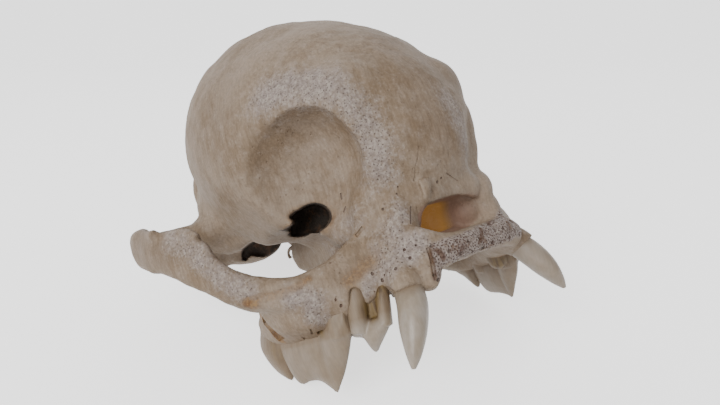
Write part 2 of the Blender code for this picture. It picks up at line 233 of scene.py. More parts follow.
def combine(base, home, operation):
    """Joins a collection's pieces to base, or cuts them from it, and removes them."""
    step = base.modifiers.new(operation.lower(), "BOOLEAN")
    step.operation = operation
    step.operand_type = "COLLECTION"
    step.collection = home
    step.solver = "MANIFOLD"
    settle(base)
    for thing in list(home.objects):
        bpy.data.objects.remove(thing)
    bpy.data.collections.remove(home)


def soften(base, voxel, rounds):
    """Covers base in even cells and relaxes them, which rounds its edges and fills its creases."""
    remesh = base.modifiers.new("cells", "REMESH")
    remesh.mode = "VOXEL"
    remesh.voxel_size = voxel * MM
    smooth = base.modifiers.new("relax", "SMOOTH")
    smooth.factor = 0.5
    smooth.iterations = rounds
    settle(base)


def largest_piece(thing):
    """Keeps only the largest closed surface of the mesh."""
    builder = bmesh.new()
    builder.from_mesh(thing.data)
    left = set(builder.verts)
    groups = []
    while left:
        stack = [left.pop()]
        group = set(stack)
        while stack:
            for edge in stack.pop().link_edges:
                for vert in edge.verts:
                    if vert in left:
                        left.remove(vert)
                        group.add(vert)
                        stack.append(vert)
        groups.append(group)
    keep = max(groups, key=len)
    bmesh.ops.delete(builder, geom=[vert for vert in builder.verts if vert not in keep], context="VERTS")
    builder.to_mesh(thing.data)
    builder.free()


print("steps: combine, soften and largest_piece")

# %% [markdown]
# ## The large forms
#
# A dog's cranium is an egg for the brain, two deep bowls for the eyes, and a short face hung in front. The egg is
# made first, then the masses that have wide hollows between them. The bowls are cut out, and the whole is
# smoothed hard, which turns separate lumps into one skull.

# %% The large forms
work = new_home("work")
bone = ball(work, (0.0, 43.6, 42.0), (31.5, 38.0, 30.2), pitch=27.5, front=46.8 / 38.0)
bone.name = "bone"

masses = new_home("masses")
ball(masses, (0, 69, 42), (23, 14, 18), pitch=30)
bar(masses, [(0, 4.5, 20, 9.5, 6.5), (0, 12, 18.5, 11, 9), (0, 28, 18.5, 11, 9), (0, 44, 21, 11, 6),
             (0, 60, 23, 10, 6), (0, 76, 28, 12, 7), (0, 83, 32, 12, 8)], fullness=3)
bar(masses, [(0, 1, 6, 14, 2.6), (0, 12, 6.5, 18, 2.4), (0, 26, 7, 22, 2.2), (0, 42, 8, 20, 2.0)])
bar(masses, [(-13.4, 4.6, 5.2, 2.6, 2.7), (-8, 2.2, 6.0, 3, 2.8), (0, 1.6, 5.9, 2.8, 2.7), (8, 2.2, 5.4, 3, 3.3),
             (13.4, 4.6, 4.6, 2.6, 3.1)])
bar(masses, [(-3, 3.4, 4, 2, 1.4), (3, 3.6, 3.8, 2, 1.6), (9, 4.6, 3.4, 2.2, 2.2), (14, 7.4, 2.8, 2.6, 2.6)])
for side in (-1, 1):
    ball(masses, (side * 9.1, 14.7, 38.1), (11.6, 11.6, 11.6))
    ball(masses, (side * 17, 57, 33), (12.2, 16, 12), pitch=20)
    ball(masses, (side * 24, 60, 27.5), (9, 9, 5.5))
    bar(masses, [(12.2, 7, 4.6, 2.8, 4.4), (16.6, 11.6, 5.4, 3.6, 5), (22, 17, 5, 4.8, 6), (26, 23, 4, 4.8, 6),
                 (28.2, 29, 3.5, 4.4, 6), (27.6, 35, 3.5, 4.2, 6), (25.4, 41, 5, 3.8, 4.8),
                 (22, 45, 6.5, 2.6, 3.5)], side)
    bar(masses, [(12.2, 6.6, 8, 3.8, 3.6), (11.2, 8.4, 14, 3.6, 3.4), (10.4, 9.4, 22, 3.8, 3.6),
                 (10.6, 10.6, 30, 4, 4)], side, up=(0, 1, 0))
combine(bone, masses, "UNION")

bowls = new_home("bowls")
for side in (-1, 1):
    ball(bowls, (side * 30.5, 13.8, 26.0), (16.8, 15.4, 15.2), yaw=side * -12)
    ball(bowls, (side * 24.5, 34, 11.6), (13.5, 15, 8.2))
block(bowls, (0, 46, 19.5), 8.0, (-60, -6, -30), (60, 60, 0))
combine(bone, bowls, "DIFFERENCE")
soften(bone, 0.8, 11)
print("large forms:", len(bone.data.vertices), "points")

# %% [markdown]
# ## Arches, crests and plates
#
# The cheek arches, the rims of the eye sockets and the crest at the nape are thin and keep sharper edges, so they
# join after the hard smoothing and get a gentler one. Each is one bar for the right and one for the left, mirrored
# by the sign of X.

# %% Arches, crests and plates
added = new_home("added")
for side in (-1, 1):
    bar(added, [(22.6, 16.4, 6.4, 3.6, 3.2), (27, 18.6, 6.4, 3.2, 3.2), (31, 20.8, 7.4, 2.6, 3.2),
                (34.4, 23.4, 9, 2.1, 3.0), (37, 26.6, 11, 1.8, 3.2), (38.8, 29.6, 13.4, 1.7, 3.6),
                (40.4, 33, 16.6, 1.8, 4.2), (42.2, 37, 19.6, 1.9, 4.1), (43.9, 42.5, 22.4, 1.9, 3.9),
                (45.0, 48.5, 24.6, 2.0, 4.2), (44.8, 55, 26.3, 2.4, 4.7), (43, 60, 27.2, 3.0, 3.8),
                (39, 63, 28.3, 4.0, 2.8), (34, 64.5, 28.7, 5, 2.4), (29, 65, 28.7, 6.2, 2.6),
                (22, 65, 28.5, 7, 3.4)], side, fullness=2.8)
    bar(added, [(39.4, 32, 15, 1.4, 3), (39.6, 31.6, 19, 1.4, 2.6), (39.8, 31.2, 22, 1.2, 1.6)], side, up=(0, 1, 0))
    bar(added, [(26.5, 18.5, 3.6, 3.4, 4.2), (29.6, 23.5, 4.2, 3.4, 4.6), (30.6, 28.5, 5, 2.8, 4.4),
                (29.6, 34, 5.6, 2.2, 3.8)], side)
    bar(added, [(31, 20.6, 5.4, 1.8, 1.5), (34.4, 25, 6.8, 1.6, 1.4), (36.2, 28.4, 8.4, 1.4, 1.3),
                (38, 31.8, 11, 1.2, 1.2)], side)
    ball(added, (side * 13.2, 12.6, 16.5), (4.4, 4.4, 6))
    ball(added, (side * 14.6, 8, 5), (3.8, 3.8, 4))
    ball(added, (side * 14.8, 20, 15), (3.4, 5, 3.4))
    bar(added, [(33, 66, 24, 3, 2.5), (28, 67, 21.8, 3, 3), (22, 67, 22.3, 3, 3.2)], side)
    bar(added, [(15, 38, 21, 1.6, 1.6), (20, 45, 21.8, 1.8, 1.8), (23, 53, 22.6, 2.4, 2),
                (26, 60, 23.6, 3, 2.6)], side)
    bar(added, [(25.4, 21.5, 40.8, 1.3, 1.4), (22, 15.2, 39, 1.5, 1.6), (19.9, 12.6, 38.3, 1.6, 1.6),
                (17.6, 10.1, 36.6, 1.6, 1.6), (15.3, 8.8, 33.6, 1.7, 1.7), (13.6, 8.7, 29.3, 1.8, 1.8),
                (12.7, 9.8, 24.3, 1.8, 1.8), (13.3, 11.6, 18.5, 1.9, 1.9), (15.4, 13.4, 14, 2, 2),
                (19, 15.1, 10.8, 2.2, 2.1), (24, 17, 8.9, 2.3, 2.1), (28.4, 19, 8.2, 2.2, 2.2)], side)
    bar(added, [(22.5, 67, 31, 2, 1.8), (23, 71.5, 38, 2, 1.8), (21, 75.5, 46, 2, 1.8), (15, 78.6, 53, 2, 1.8),
                (7, 80, 57, 2, 1.8), (-2, 80.4, 58, 2, 2)], side)
    ball(added, (side * 16, 64.5, 22.4), (8, 10, 4.8), yaw=side * -12)
    bar(added, [(5.5, 79.5, 23.8, 3, 3.2), (8.5, 83, 23.8, 3.6, 4.2), (10, 86, 29.2, 3.2, 4.4),
                (9.5, 86, 35, 2.2, 3)], side, up=(1, 0, 0))
    bar(added, [(19, 72, 32, 5, 5), (20, 75.5, 26, 3, 2.8), (20.4, 77.6, 21.6, 1.5, 1.5)], side, up=(0, 1, 0))
    bar(added, [(11, 30, 14, 2, 6), (11, 38, 14.2, 1.4, 6.5), (10.8, 46, 15.2, 1.2, 5.6),
                (10.5, 52.5, 16, 1.0, 4.2)], side)
    bar(added, [(10.3, 51, 16, 0.9, 1.6), (10.3, 55, 15.4, 0.9, 1.2), (10.5, 57, 14.2, 0.8, 0.9)], side)
bar(added, [(0, 80, 57, 5, 4), (0, 83, 50, 3, 2.6), (0, 84, 44, 2, 2)], up=(0, 1, 0))
combine(bone, added, "UNION")
soften(bone, 0.6, 7)
print("with arches:", len(bone.data.vertices), "points")

# %% [markdown]
# ## Nose, throat and nerve holes
#
# Where nerves and the spinal cord pass, and where thin bone has broken away, the skull has openings with hard
# edges. They are cut last, so that only a few light rounds of smoothing touch their rims. A round hole is a bar or
# a ball. A broken one has a ragged outline: a list of points round its rim, pushed straight in like a punch.

# %% Outlines of the broken places
BRAIN_HOLE = [(-18.5, 23.3, 23.1), (-17.8, 22.2, 22.6), (-17.2, 20.9, 21.5), (-17.1, 20.0, 20.0), (-17.4, 19.9, 18.7),
              (-18.1, 20.2, 17.7), (-18.9, 20.9, 17.0), (-19.6, 21.8, 17.0), (-19.9, 22.0, 16.5), (-20.9, 23.6, 17.1),
              (-21.8, 24.7, 16.8), (-22.8, 26.2, 17.1), (-23.6, 27.5, 17.8), (-23.9, 28.2, 18.5), (-23.2, 27.7, 19.0),
              (-24.6, 29.5, 20.2), (-23.4, 28.3, 19.9), (-22.4, 27.0, 20.3), (-22.0, 26.9, 21.1), (-22.8, 28.2, 22.2),
              (-21.7, 27.2, 22.5), (-21.2, 26.8, 22.9), (-20.4, 25.7, 22.9), (-19.4, 24.6, 23.2)]
BASE_HOLE = [(-24.6, 52.5, 20.3), (-24.1, 52.2, 20.8), (-23.3, 51.8, 21.1), (-22.1, 51.2, 21.6), (-20.6, 50.5, 21.9),
             (-19.1, 49.9, 21.8), (-17.6, 49.2, 21.4), (-15.8, 48.5, 20.9), (-14.3, 47.9, 20.4), (-13.2, 47.5, 19.1),
             (-14.4, 48.0, 19.0), (-15.2, 48.5, 18.5), (-15.8, 48.8, 18.0), (-16.7, 49.3, 17.0), (-18.4, 50.0, 16.9),
             (-20.3, 50.8, 17.4), (-21.6, 51.3, 18.0), (-22.6, 51.7, 18.6), (-23.5, 52.2, 18.4), (-24.1, 52.5, 17.6),
             (-25.0, 52.9, 17.9), (-24.9, 52.7, 19.1)]
BRAIN_HOLE_WAY = Vector((0.496, 0.86, 0.116))
BASE_HOLE_WAY = Vector((0.405, 0.91, 0.09))
WORN_SOCKET = [(-23.1, 12.6, 4.9), (-21.6, 11.5, 4.4), (-21.9, 11.5, 1.8), (-21.4, 11.1, 1.2), (-18.2, 9.1, 2.9),
               (-17.7, 8.7, 2.3), (-17.7, 8.6, 0.7), (-20.0, 9.3, -6.5), (-26.1, 13.6, -4.0)]
WORN_SOCKET_WAY = Vector((0.551, 0.829, -0.094))
print("broken places:", len(BRAIN_HOLE), "+", len(BASE_HOLE), "+", len(WORN_SOCKET), "points")

# %% [markdown]
# ## Cutting the openings
#
# Each outline is the rim as it is seen from the front right, so the punch runs along that line of sight and the
# rim keeps its ragged shape. The right side of the skull lies at negative X, and most cutters are mirrored to the
# left. The worn tooth socket is on the right alone.


# %% Nose, throat and holes
def punch(home, outline, way, before, beyond, side=1):
    """A cutter with the given outline, pushed along way from before the outline to beyond it."""
    builder = bmesh.new()
    flip = Vector((side, 1, 1))
    ends = []
    for reach in (-before, beyond):
        ends.append([builder.verts.new((Vector(point) + way * reach) * flip * MM) for point in outline])
    count = len(outline)
    for n in range(count):
        m = (n + 1) % count
        builder.faces.new((ends[0][n], ends[0][m], ends[1][m], ends[1][n]))
    builder.faces.new(ends[0])
    builder.faces.new(ends[1])
    bmesh.ops.recalc_face_normals(builder, faces=builder.faces)
    bmesh.ops.triangulate(builder, faces=builder.faces)
    return object_from("punch", builder, home)


cutters = new_home("cutters")
bar(cutters, [(1, -12, 13.2, 8.9, 3.9), (1, 0, 13.2, 8.9, 3.8), (0.9, 3, 13.0, 8.7, 3.6), (0.3, 8, 12.5, 7.6, 3.0),
              (0, 18, 12.8, 6.4, 3.4), (0, 34, 13.6, 6, 4.4), (0, 45, 10.6, 6.8, 5.5), (0, 62, 5.6, 7.5, 9)],
    fullness=2.6)
ball(cutters, (0, 90, 37), (8.2, 15, 7.5), pitch=30)
bar(cutters, [(0, -4, 0, 9, 3), (0, 10, 0.5, 14, 4), (0, 26, 1, 19, 4.5), (0, 46, 1, 18, 5)])
for side in (-1, 1):
    ball(cutters, (side * 25, 13.5, 28.5), (11.8, 10.8, 11.7))
    punch(cutters, BRAIN_HOLE, BRAIN_HOLE_WAY, 5, 14, -side)
    punch(cutters, BASE_HOLE, BASE_HOLE_WAY, 3, 12, -side)
    ball(cutters, (side * 28, 61, 19), (8, 3.6, 3.4))
    ball(cutters, (side * 10.5, 54.2, 15.9), (2.4, 1.2, 1.2))
punch(cutters, WORN_SOCKET, WORN_SOCKET_WAY, 4.0, 4.5)
combine(bone, cutters, "DIFFERENCE")
print("after cutting:", len(bone.data.vertices), "points")

# %% [markdown]
# ## Last thin forms
#
# A few forms are too thin for the earlier smoothing: the hook behind the throat, the top edge of the cheek arch,
# the lips of the nose, and the bone that closes round the neck of each canine. One gap is cut too, between the
# right canine and the premolar.

# %% Last thin forms
last = new_home("last")
for side in (-1, 1):
    bar(last, [(10.6, 49.5, 17.8, 0.8, 1.6), (10.5, 51.5, 17.8, 0.8, 0.9), (10.5, 53.6, 18.0, 0.65, 0.6),
               (10.5, 55.4, 17.7, 0.6, 0.6), (10.5, 56.6, 16.6, 0.6, 0.6), (10.5, 56.2, 15.6, 0.6, 0.6)], side)
    bar(last, [(45.0, 46, 26.5, 1.0, 1.6), (43.9, 42, 25.8, 1.1, 1.6), (42.3, 38, 24.8, 1.1, 1.7),
               (41.0, 34.4, 23.6, 1.1, 1.9), (40.2, 31.8, 22.2, 1.0, 1.6)], side)
    bar(last, [(14.8, 8.2, 6, 3.2, 3.2), (15.8, 6.6, 3.2, 3.3, 3.3), (16.4, 5.6, 1.2, 3.1, 3.1)], side,
        up=(0, 1, 0))
    ball(last, (side * 13.5, 11.5, 9.5), (5, 5, 4))
ball(last, (10.8, 7.4, 15.4), (3.3, 3.2, 5.2))
bar(last, [(-7.0, 2.9, 19.4, 1.4, 0.7), (-7.4, 2.7, 17.4, 1.1, 0.7), (-8.3, 2.9, 15.4, 0.5, 0.5)], up=(0, 1, 0))
bar(last, [(-11.5, 2.4, 5, 1.0, 1.0), (-11.9, 2.5, 3.2, 1.0, 1.0), (-12.6, 2.6, 1.9, 0.8, 0.8),
           (-13.6, 2.9, 1.0, 0.6, 0.6)], up=(0, 1, 0))
ball(last, (-12.8, 4.4, 2.6), (2.2, 2.2, 2.4))
bar(last, [(45.0, 42, 27.0, 1.0, 1.1), (45.1, 46, 27.9, 1.0, 1.1), (45.0, 50, 28.9, 1.1, 1.1),
           (44.4, 54, 29.9, 1.2, 1.1)], -1)
bar(last, [(-8.2, 3.4, 15.6, 0.8, 1.0), (-5.5, 3.6, 16.0, 0.8, 1.2), (-2.5, 3.9, 16.2, 0.8, 1.3),
           (1, 4.2, 16.1, 0.8, 1.3), (4.5, 4.6, 15.7, 0.8, 1.3), (8, 5.4, 14.9, 0.8, 1.2)])
bar(last, [(-12.4, 4.2, 10.6, 1.2, 1.4), (-11, 2.6, 9.6, 1.2, 1.3), (-8.6, 2.2, 8.6, 1.1, 1.0),
           (-5.5, 1.8, 8.0, 1.0, 0.8), (-2.5, 1.7, 7.6, 1.0, 0.8)])
bar(last, [(-2.5, 9.5, 16.9, 1.2, 0.5), (1.2, 8.6, 16.4, 1.6, 0.5), (5.5, 8.2, 15.6, 1.8, 0.5),
           (9.5, 8, 15.0, 1.4, 0.5)])
ball(last, (8.6, 14.0, 11.6), (4.6, 8.0, 5.0), yaw=-16)
combine(bone, last, "UNION")
gap = new_home("gap")
ball(gap, (-18.9, 7.4, 0.4), (2.6, 1.8, 2.7))
combine(bone, gap, "DIFFERENCE")
soften(bone, 0.46, 3)
largest_piece(bone)
print("whole cranium:", len(bone.data.vertices), "points")

# %% [markdown]
# ## Marks on the surface
#
# Old bone carries marks: porous bands, cracks, stains, pits. Each could be painted on an image, but an image has
# a fixed fineness and must be unwrapped. Here a mark is a line of points on the skull and a radius. Every point of
# the mesh gets a number from 0 to 1 for how near it is to the line. The number is kept as an attribute that the
# finish reads, or it says how far a point is pressed in or raised.


# %% Marks along lines and in outlines
def points_of(thing):
    """The places of the mesh's points, in millimetres."""
    found = np.empty(len(thing.data.vertices) * 3)
    thing.data.vertices.foreach_get("co", found)
    return found.reshape(-1, 3) / MM


def normals_of(thing):
    found = np.empty(len(thing.data.vertices) * 3)
    thing.data.vertex_normals.foreach_get("vector", found)
    return found.reshape(-1, 3)


def distance_to(places, line):
    """How far each place is from a line of points."""
    line = np.array(line, float).reshape(-1, 3)
    best = np.full(len(places), 1e9)
    ends = list(zip(line, line[1:])) or [(line[0], line[0] + 1e-6)]
    for start, end in ends:
        way = end - start
        along = np.clip((places - start) @ way / (way @ way), 0, 1)
        best = np.minimum(best, np.linalg.norm(places - start - along[:, None] * way, axis=1))
    return best


def near(places, line, radius, edge=1.0):
    """1 on the line, falling smoothly to 0 at radius. An edge below 1 keeps it full for longer."""
    share = np.clip((radius - distance_to(places, line)) / (radius * edge), 0, 1)
    return share * share * (3 - 2 * share)


def marked(places, rows):
    """Several marks together: each row holds a line, the radius round it and the strength of the mark."""
    return sum(near(places, line, radius) * strength for line, radius, strength in rows)


def within(places, outline, way, margin=0.1, start=0.3, reach=16.0):
    """1 inside a hole of this outline, from start to reach beyond the outline's own plane, along way."""
    way = Vector(way).normalized()
    across = way.cross(Vector((0, 0, 1))).normalized()
    flat = np.array([across, way.cross(across)]).T
    middle = np.mean(outline, axis=0)
    facing = np.linalg.svd(np.array(outline) - middle)[2][2]
    along = (places - middle) @ facing / (np.array(way) @ facing)
    spots = (places - middle) @ flat
    rim = (np.array(outline) - middle) @ flat
    rim = rim * (1 + margin / np.linalg.norm(rim, axis=1))[:, None]
    inside = np.zeros(len(places), bool)
    for (x0, y0), (x1, y1) in zip(rim, np.roll(rim, -1, axis=0)):
        crosses = (y0 > spots[:, 1]) != (y1 > spots[:, 1])
        inside ^= crosses & (spots[:, 0] < x0 + (spots[:, 1] - y0) * (x1 - x0) / (y1 - y0 + 1e-9))
    return inside * np.clip((along - start) / 0.8, 0, 1) * (along < reach)


def write_marks(thing, name, values):
    layer = thing.data.attributes.get(name) or thing.data.attributes.new(name, "FLOAT", "POINT")
    layer.data.foreach_set("value", np.clip(values, 0, 1).astype(np.float32))


print("marks: near, marked, within and write_marks")

# %% [markdown]
# ## Hollows
#
# Some shapes are easier to press into the surface than to build, such as the dish in the cheek above the
# premolar or the groove where the cheek arch meets the jaw. A press moves the points that are there, so it suits
# a hollow that is wider than a few of them.


# %% Hollows
def raise_by(thing, heights):
    """Moves each point of the surface out along its own normal, by its height in millimetres."""
    places = points_of(thing) + normals_of(thing) * heights[:, None]
    thing.data.vertices.foreach_set("co", (places * MM).ravel())
    thing.data.update()


HOLLOWS = [
    ([(-23.2, 12.5, 7.5), (-21.8, 11.9, 8.2), (-20.3, 11.2, 8.8), (-18.8, 10.5, 9.2)], 4.0, 0.9),
    ([(11.5, 3.2, 28), (10.9, 3.4, 25.1), (10.2, 3.7, 23.1), (10.0, 4.4, 21.2)], 5.0, 1.2),
    ([(14.0, 3.6, 8), (15.6, 5.0, 5)], 5.0, 1.0),
    ([(8.6, 0.8, 8.4), (9.2, 0.6, 6.0)], 1.3, 0.5),
    ([(10.6, 2.2, 9.6)], 1.8, 1.0),
    ([(3.4, 0.2, 7.8)], 1.7, 0.7),
    ([(-37.4, 24.1, 8.6), (-35.4, 21.5, 8.2), (-33.0, 19.2, 7.9), (-31.5, 18.1, 8.0),
      (-29.8, 17.1, 8.5)], 1.2, 0.5),
]
for line, radius, depth in HOLLOWS:
    raise_by(bone, near(points_of(bone), line, radius) * -depth)
print("pressed", len(HOLLOWS), "hollows")

# %% [markdown]
# ## Weathered bone
#
# No face of old bone is as even as a lofted bar. Two fine noises raise and lower it by a tenth of a millimetre or
# two, and a third one roughens the porous bands. All of this could be left to the finish, but then the outline
# would stay too clean.


# %% Weathering
def roughen(thing, size, height, share=1.0):
    """Raises and lowers the surface by a noise whose lumps are about size across."""
    lumps = np.array([noise.noise(place / size) for place in points_of(thing)])
    raise_by(thing, lumps * height * share)


POROUS = [
    ([(-23.6, 18.6, 44.0), (-21.4, 14.6, 43.6), (-18.6, 9.6, 41.4), (-16.2, 6.2, 38.4), (-14.4, 4.8, 34.0),
      (-13.6, 4.6, 29.0), (-13.6, 6.2, 23.4)], 6.5, 0.8),
    ([(-25.0, 22.0, 45.0), (-22.0, 17.0, 46.9), (-18.8, 12.8, 46.0), (-16.4, 7.2, 42.9)], 6.0, 0.35),
    ([(4.7, 0.6, 33.2), (5.4, 0.6, 29.9), (6.1, 1.0, 26.8), (6.6, 2.2, 23.0)], 6.0, 0.7),
    ([(-42.5, 37.9, 24.4), (-41.7, 32.8, 21.1), (-40.6, 29.8, 17.8), (-40.0, 28.3, 14.9), (-38.6, 26.0, 12.2),
      (-37.2, 23.7, 10.2)], 5.0, 0.75),
    ([(-31.9, 18.3, 6.4), (-30.1, 16.9, 6.2), (-28.5, 16.0, 5.0), (-29.3, 17.3, 2.7), (-27.6, 17.2, 1.6)], 3.6, 0.85),
    ([(-12.8, 5.5, 14.4), (-15.0, 6.7, 11.5), (-16.2, 8.5, 9.4), (-14.7, 5.4, 10.2), (-12.6, 3.8, 8.8)], 5.0, 0.75),
    ([(-20.5, 9.2, 6.0), (-18.4, 7.4, 5.4), (-15.8, 5.0, 6.6), (-13.4, 4.0, 7.6)], 3.6, 0.7),
    ([(-21.4, 10.4, 3.0), (-21.0, 9.6, 1.6)], 2.4, 0.9),
    ([(2.0, 3.6, 2.6), (6.0, 4.0, 2.4), (10.0, 5.0, 2.2)], 2.6, 0.6),
    # This band on the lower wall of the eye socket is partly painted light: its paler chalk lightens a place that the
    # shape leaves in shade, and it is roughened like the others.
    ([(-17.4, 12.1, 17.2), (-16.4, 18.9, 14.7), (-12.8, 31.9, 13.4)], 6.0, 0.45),
]
roughen(bone, 8.0, 0.45)
roughen(bone, 2.4, 0.14)
roughen(bone, 1.1, 0.2, np.clip(marked(points_of(bone), POROUS), 0, 1))
print("weathered", len(bone.data.vertices), "points")

# %% [markdown]
# ## Cracks, slits and vessel holes
#
# Drying opened a few cracks, and small slits and holes let vessels through. Each is a thin bar laid along the
# surface and cut from it. Its points are first moved to the nearest place on the surface, so that the groove is
# equally deep all along.

# %% Cracks, slits and vessel holes
SLITS = [
    (0.16, [(-6.6, 1.5, 25.3), (-7.0, 2.0, 23.8), (-7.6, 2.8, 22.2), (-7.8, 3.7, 20.6), (-8.2, 4.1, 19.6)]),
    (0.16, [(-10.0, 5.0, 15.4), (-10.7, 5.0, 13.9), (-11.8, 4.6, 12.3)]),
    (0.16, [(-1.0, 2.7, 19.6), (0.7, 3.2, 18.6), (2.7, 3.7, 17.6)]),
    (0.32, [(-12.4, 1.9, 7.4), (-12.8, 1.6, 5.6), (-12.9, 1.6, 4.0), (-12.9, 2.2, 2.4)]),
    (0.22, [(-14.8, 18.3, 23.0), (-15.2, 18.2, 21.6)]),
    (0.22, [(-15.5, 17.0, 20.0), (-16.2, 17.4, 19.0)]),
    (0.36, [(-17.1, 11.4, 14.6), (-17.4, 12.2, 14.2), (-18.0, 13.1, 13.5)]),
    (0.7, [(-27.7, 19.2, 0.0), (-27.5, 19.6, -2.2)]),
    (0.3, [(-29.4, 22.9, -0.7), (-28.7, 23.7, -1.8)]),
    (0.22, [(-29.4, 19.0, 0.5), (-28.6, 20.6, -0.6)]),
    (1.3, [(-33.1, 29.9, 4.2), (-32.9, 29.0, 2.7), (-32.2, 28.6, 1.3), (-31.2, 28.3, -0.5)]),
    (0.3, [(-4.6, 2.6, 8.6), (-3.4, 2.2, 8.6)]),
    (0.3, [(-6.8, 2.4, 8.7), (-6.2, 2.4, 8.7)]),
    (0.3, [(9.6, 1.6, 9.6), (10.6, 2.0, 9.8), (11.2, 2.6, 9.4)]),
]
VESSEL_HOLES = [(-18.4, 8.1, 5.3), (-19.2, 8.5, 4.5), (-18.1, 7.3, 5.9), (-18.0, 6.6, 5.3), (-17.3, 5.6, 5.5),
                (-16.3, 5.0, 6.4), (-14.8, 4.3, 6.7), (-14.6, 5.1, 8.3), (-20.9, 8.9, 2.4), (-11.1, 5.5, 19.5),
                (-11.7, 5.7, 18.3), (-14.3, 7.7, 16.5), (-3.3, 3.5, 18.4), (-2.3, 3.1, 18.9), (-19.9, 9.2, 6.5),
                (-13.2, 3.6, 8.3), (-15.6, 4.4, 5.2), (-23.8, 15.1, 10.5), (-25.6, 14.2, 3.9), (-25.0, 14.1, 2.6)]


def snapped(thing, line):
    """The places on the surface that are nearest to a line's points, in millimetres."""
    return [tuple(thing.closest_point_on_mesh(Vector(point) * MM)[1] / MM) for point in line]


bpy.context.view_layer.update()
slits = new_home("slits")
for width, line in SLITS:
    bar(slits, [(*point, width, width * 1.2) for point in snapped(bone, line)], up=(0.3, 1, 0.2), sides=12)
for point in snapped(bone, VESSEL_HOLES):
    size = 0.2 + 0.08 * math.sin(7 * point[0])
    ball(slits, point, (size, size * 1.2, size * 1.5), pitch=20 * point[0])
deep_points = [points_of(slit) for slit in slits.objects if min(slit.dimensions) < 1.2 * MM]
combine(bone, slits, "DIFFERENCE")
print("cut", len(SLITS), "slits and", len(VESSEL_HOLES), "vessel holes")

# %% [markdown]
# ## Spongy bone
#
# The bar that held the front teeth has lost its smooth skin, so the open, spongy inside shows. Where it does is a
# mark like the others: near a line along the bar, but ended at the gum, under the nose and beside the canine. A
# noise lets these edges wander, because no real skin wears off along a straight line.

# %% Where the bone is spongy
SPONGY_LINE = [(-11.6, 1.0, 6.1), (-9.7, -0.1, 6.0), (-6.8, -0.8, 5.8), (-3.1, -1.0, 5.6), (1.2, -1.0, 5.6),
               (4.4, -1.0, 5.8), (6.8, -0.8, 6.2), (9.6, 0.6, 6.8), (12.0, 2.6, 6.8)]
STRIP_BY_CANINE = [(-11.9, 0.8, 6.2), (-11.9, 0.9, 4.4), (-12.2, 1.6, 2.4)]


def spongy_share(places):
    """1 where the bar is open, falling to 0 over about half a millimetre."""
    x, y, z = places.T
    wander = np.array([noise.noise(place / 1.6) for place in places])
    along_bar = near(places, SPONGY_LINE, 4.1 + 0.6 * wander, 0.35)
    over_gum = np.clip((z - 3.4 - 0.6 * wander) / 0.5, 0, 1)
    in_front = y < 4.6
    clear_of_canine = np.clip((x + 12.2 - 0.5 * wander) / 0.5, 0, 1)
    under_nose = np.clip((8.2 + 0.3 * wander + 0.14 * np.maximum(x + 3, 0) - z) / 0.4, 0, 1)
    return np.maximum(along_bar * over_gum * in_front * clear_of_canine * under_nose,
                      near(places, STRIP_BY_CANINE, 1.3, 0.5))


print("the spongy bar follows", len(SPONGY_LINE), "points")

# %% [markdown]
# ## A tree of nodes that scatters lumps
#
# Spongy bone is hundreds of small holes with thin walls between them. Each could be placed by hand. Geometry Nodes
# scatter them instead: points that keep a least distance from each other, and a small lump on every point, turned
# and stretched at random. The spacing, the size and the seed are inputs of the tree, so one tree serves for large
# and small holes.


# %% The tree
def pit_tree(material):
    """Lumps on points scattered over a surface, with inputs for their spacing, size and seed."""
    tree = bpy.data.node_groups.new("pits", "GeometryNodeTree")
    tree.interface.new_socket("Surface", in_out="INPUT", socket_type="NodeSocketGeometry")
    for name, kind in (("Spacing", "Float"), ("Radius", "Float"), ("Seed", "Int")):
        tree.interface.new_socket(name, in_out="INPUT", socket_type="NodeSocket" + kind)
    tree.interface.new_socket("Pits", in_out="OUTPUT", socket_type="NodeSocketGeometry")

    def add(kind, **settings):
        made = tree.nodes.new(kind)
        for key, value in settings.items():
            setattr(made, key, value)
        return made

    given = add("NodeGroupInput")
    scatter = add("GeometryNodeDistributePointsOnFaces", distribute_method="POISSON")
    scatter.inputs["Density Max"].default_value = 1e8
    lump = add("GeometryNodeMeshIcoSphere")
    lump.inputs["Subdivisions"].default_value = 2
    sizes = add("FunctionNodeRandomValue", data_type="FLOAT_VECTOR")
    turns = add("FunctionNodeRandomValue", data_type="FLOAT_VECTOR")
    for random, low, high in ((sizes, 0.4, 1.0), (turns, 0.0, 6.28)):
        random.inputs["Min"].default_value = (low,) * 3
        random.inputs["Max"].default_value = (high,) * 3
        tree.links.new(given.outputs["Seed"], random.inputs["Seed"])
    place = add("GeometryNodeInstanceOnPoints")
    whole = add("GeometryNodeRealizeInstances")
    finish = add("GeometryNodeSetMaterial")
    finish.inputs["Material"].default_value = material
    result = add("NodeGroupOutput")
    for start, output, end, entry in (
            (given, "Surface", scatter, "Mesh"), (given, "Spacing", scatter, "Distance Min"),
            (given, "Seed", scatter, "Seed"), (given, "Radius", lump, "Radius"),
            (scatter, "Points", place, "Points"), (lump, "Mesh", place, "Instance"),
            (sizes, "Value", place, "Scale"), (turns, "Value", place, "Rotation"),
            (place, "Instances", whole, "Geometry"), (whole, "Geometry", finish, "Geometry"),
            (finish, "Geometry", result, "Pits")):
        tree.links.new(start.outputs[output], end.inputs[entry])
    return tree


bone_material = bpy.data.materials.new("old bone")
pits_of = pit_tree(bone_material)
print("a tree of", len(pits_of.nodes), "nodes")

# %% [markdown]
# ## Cutting the pits
#
# The scattered lumps are cut from the bone. Their least distance is wider than a lump, so no two lumps meet and the
# cut stays clean. Large holes come first, small ones after them. The points of all cutters are kept, because a point
# of the bone that lies where a cutter's point was is deep in a hole, and the finish paints shade on it.


# %% Cutting the pits
PIT_SIZES = ((2.4, 0.6, 4), (0.52, 0.25, 9))
POINTS_OF_LUMP = 42


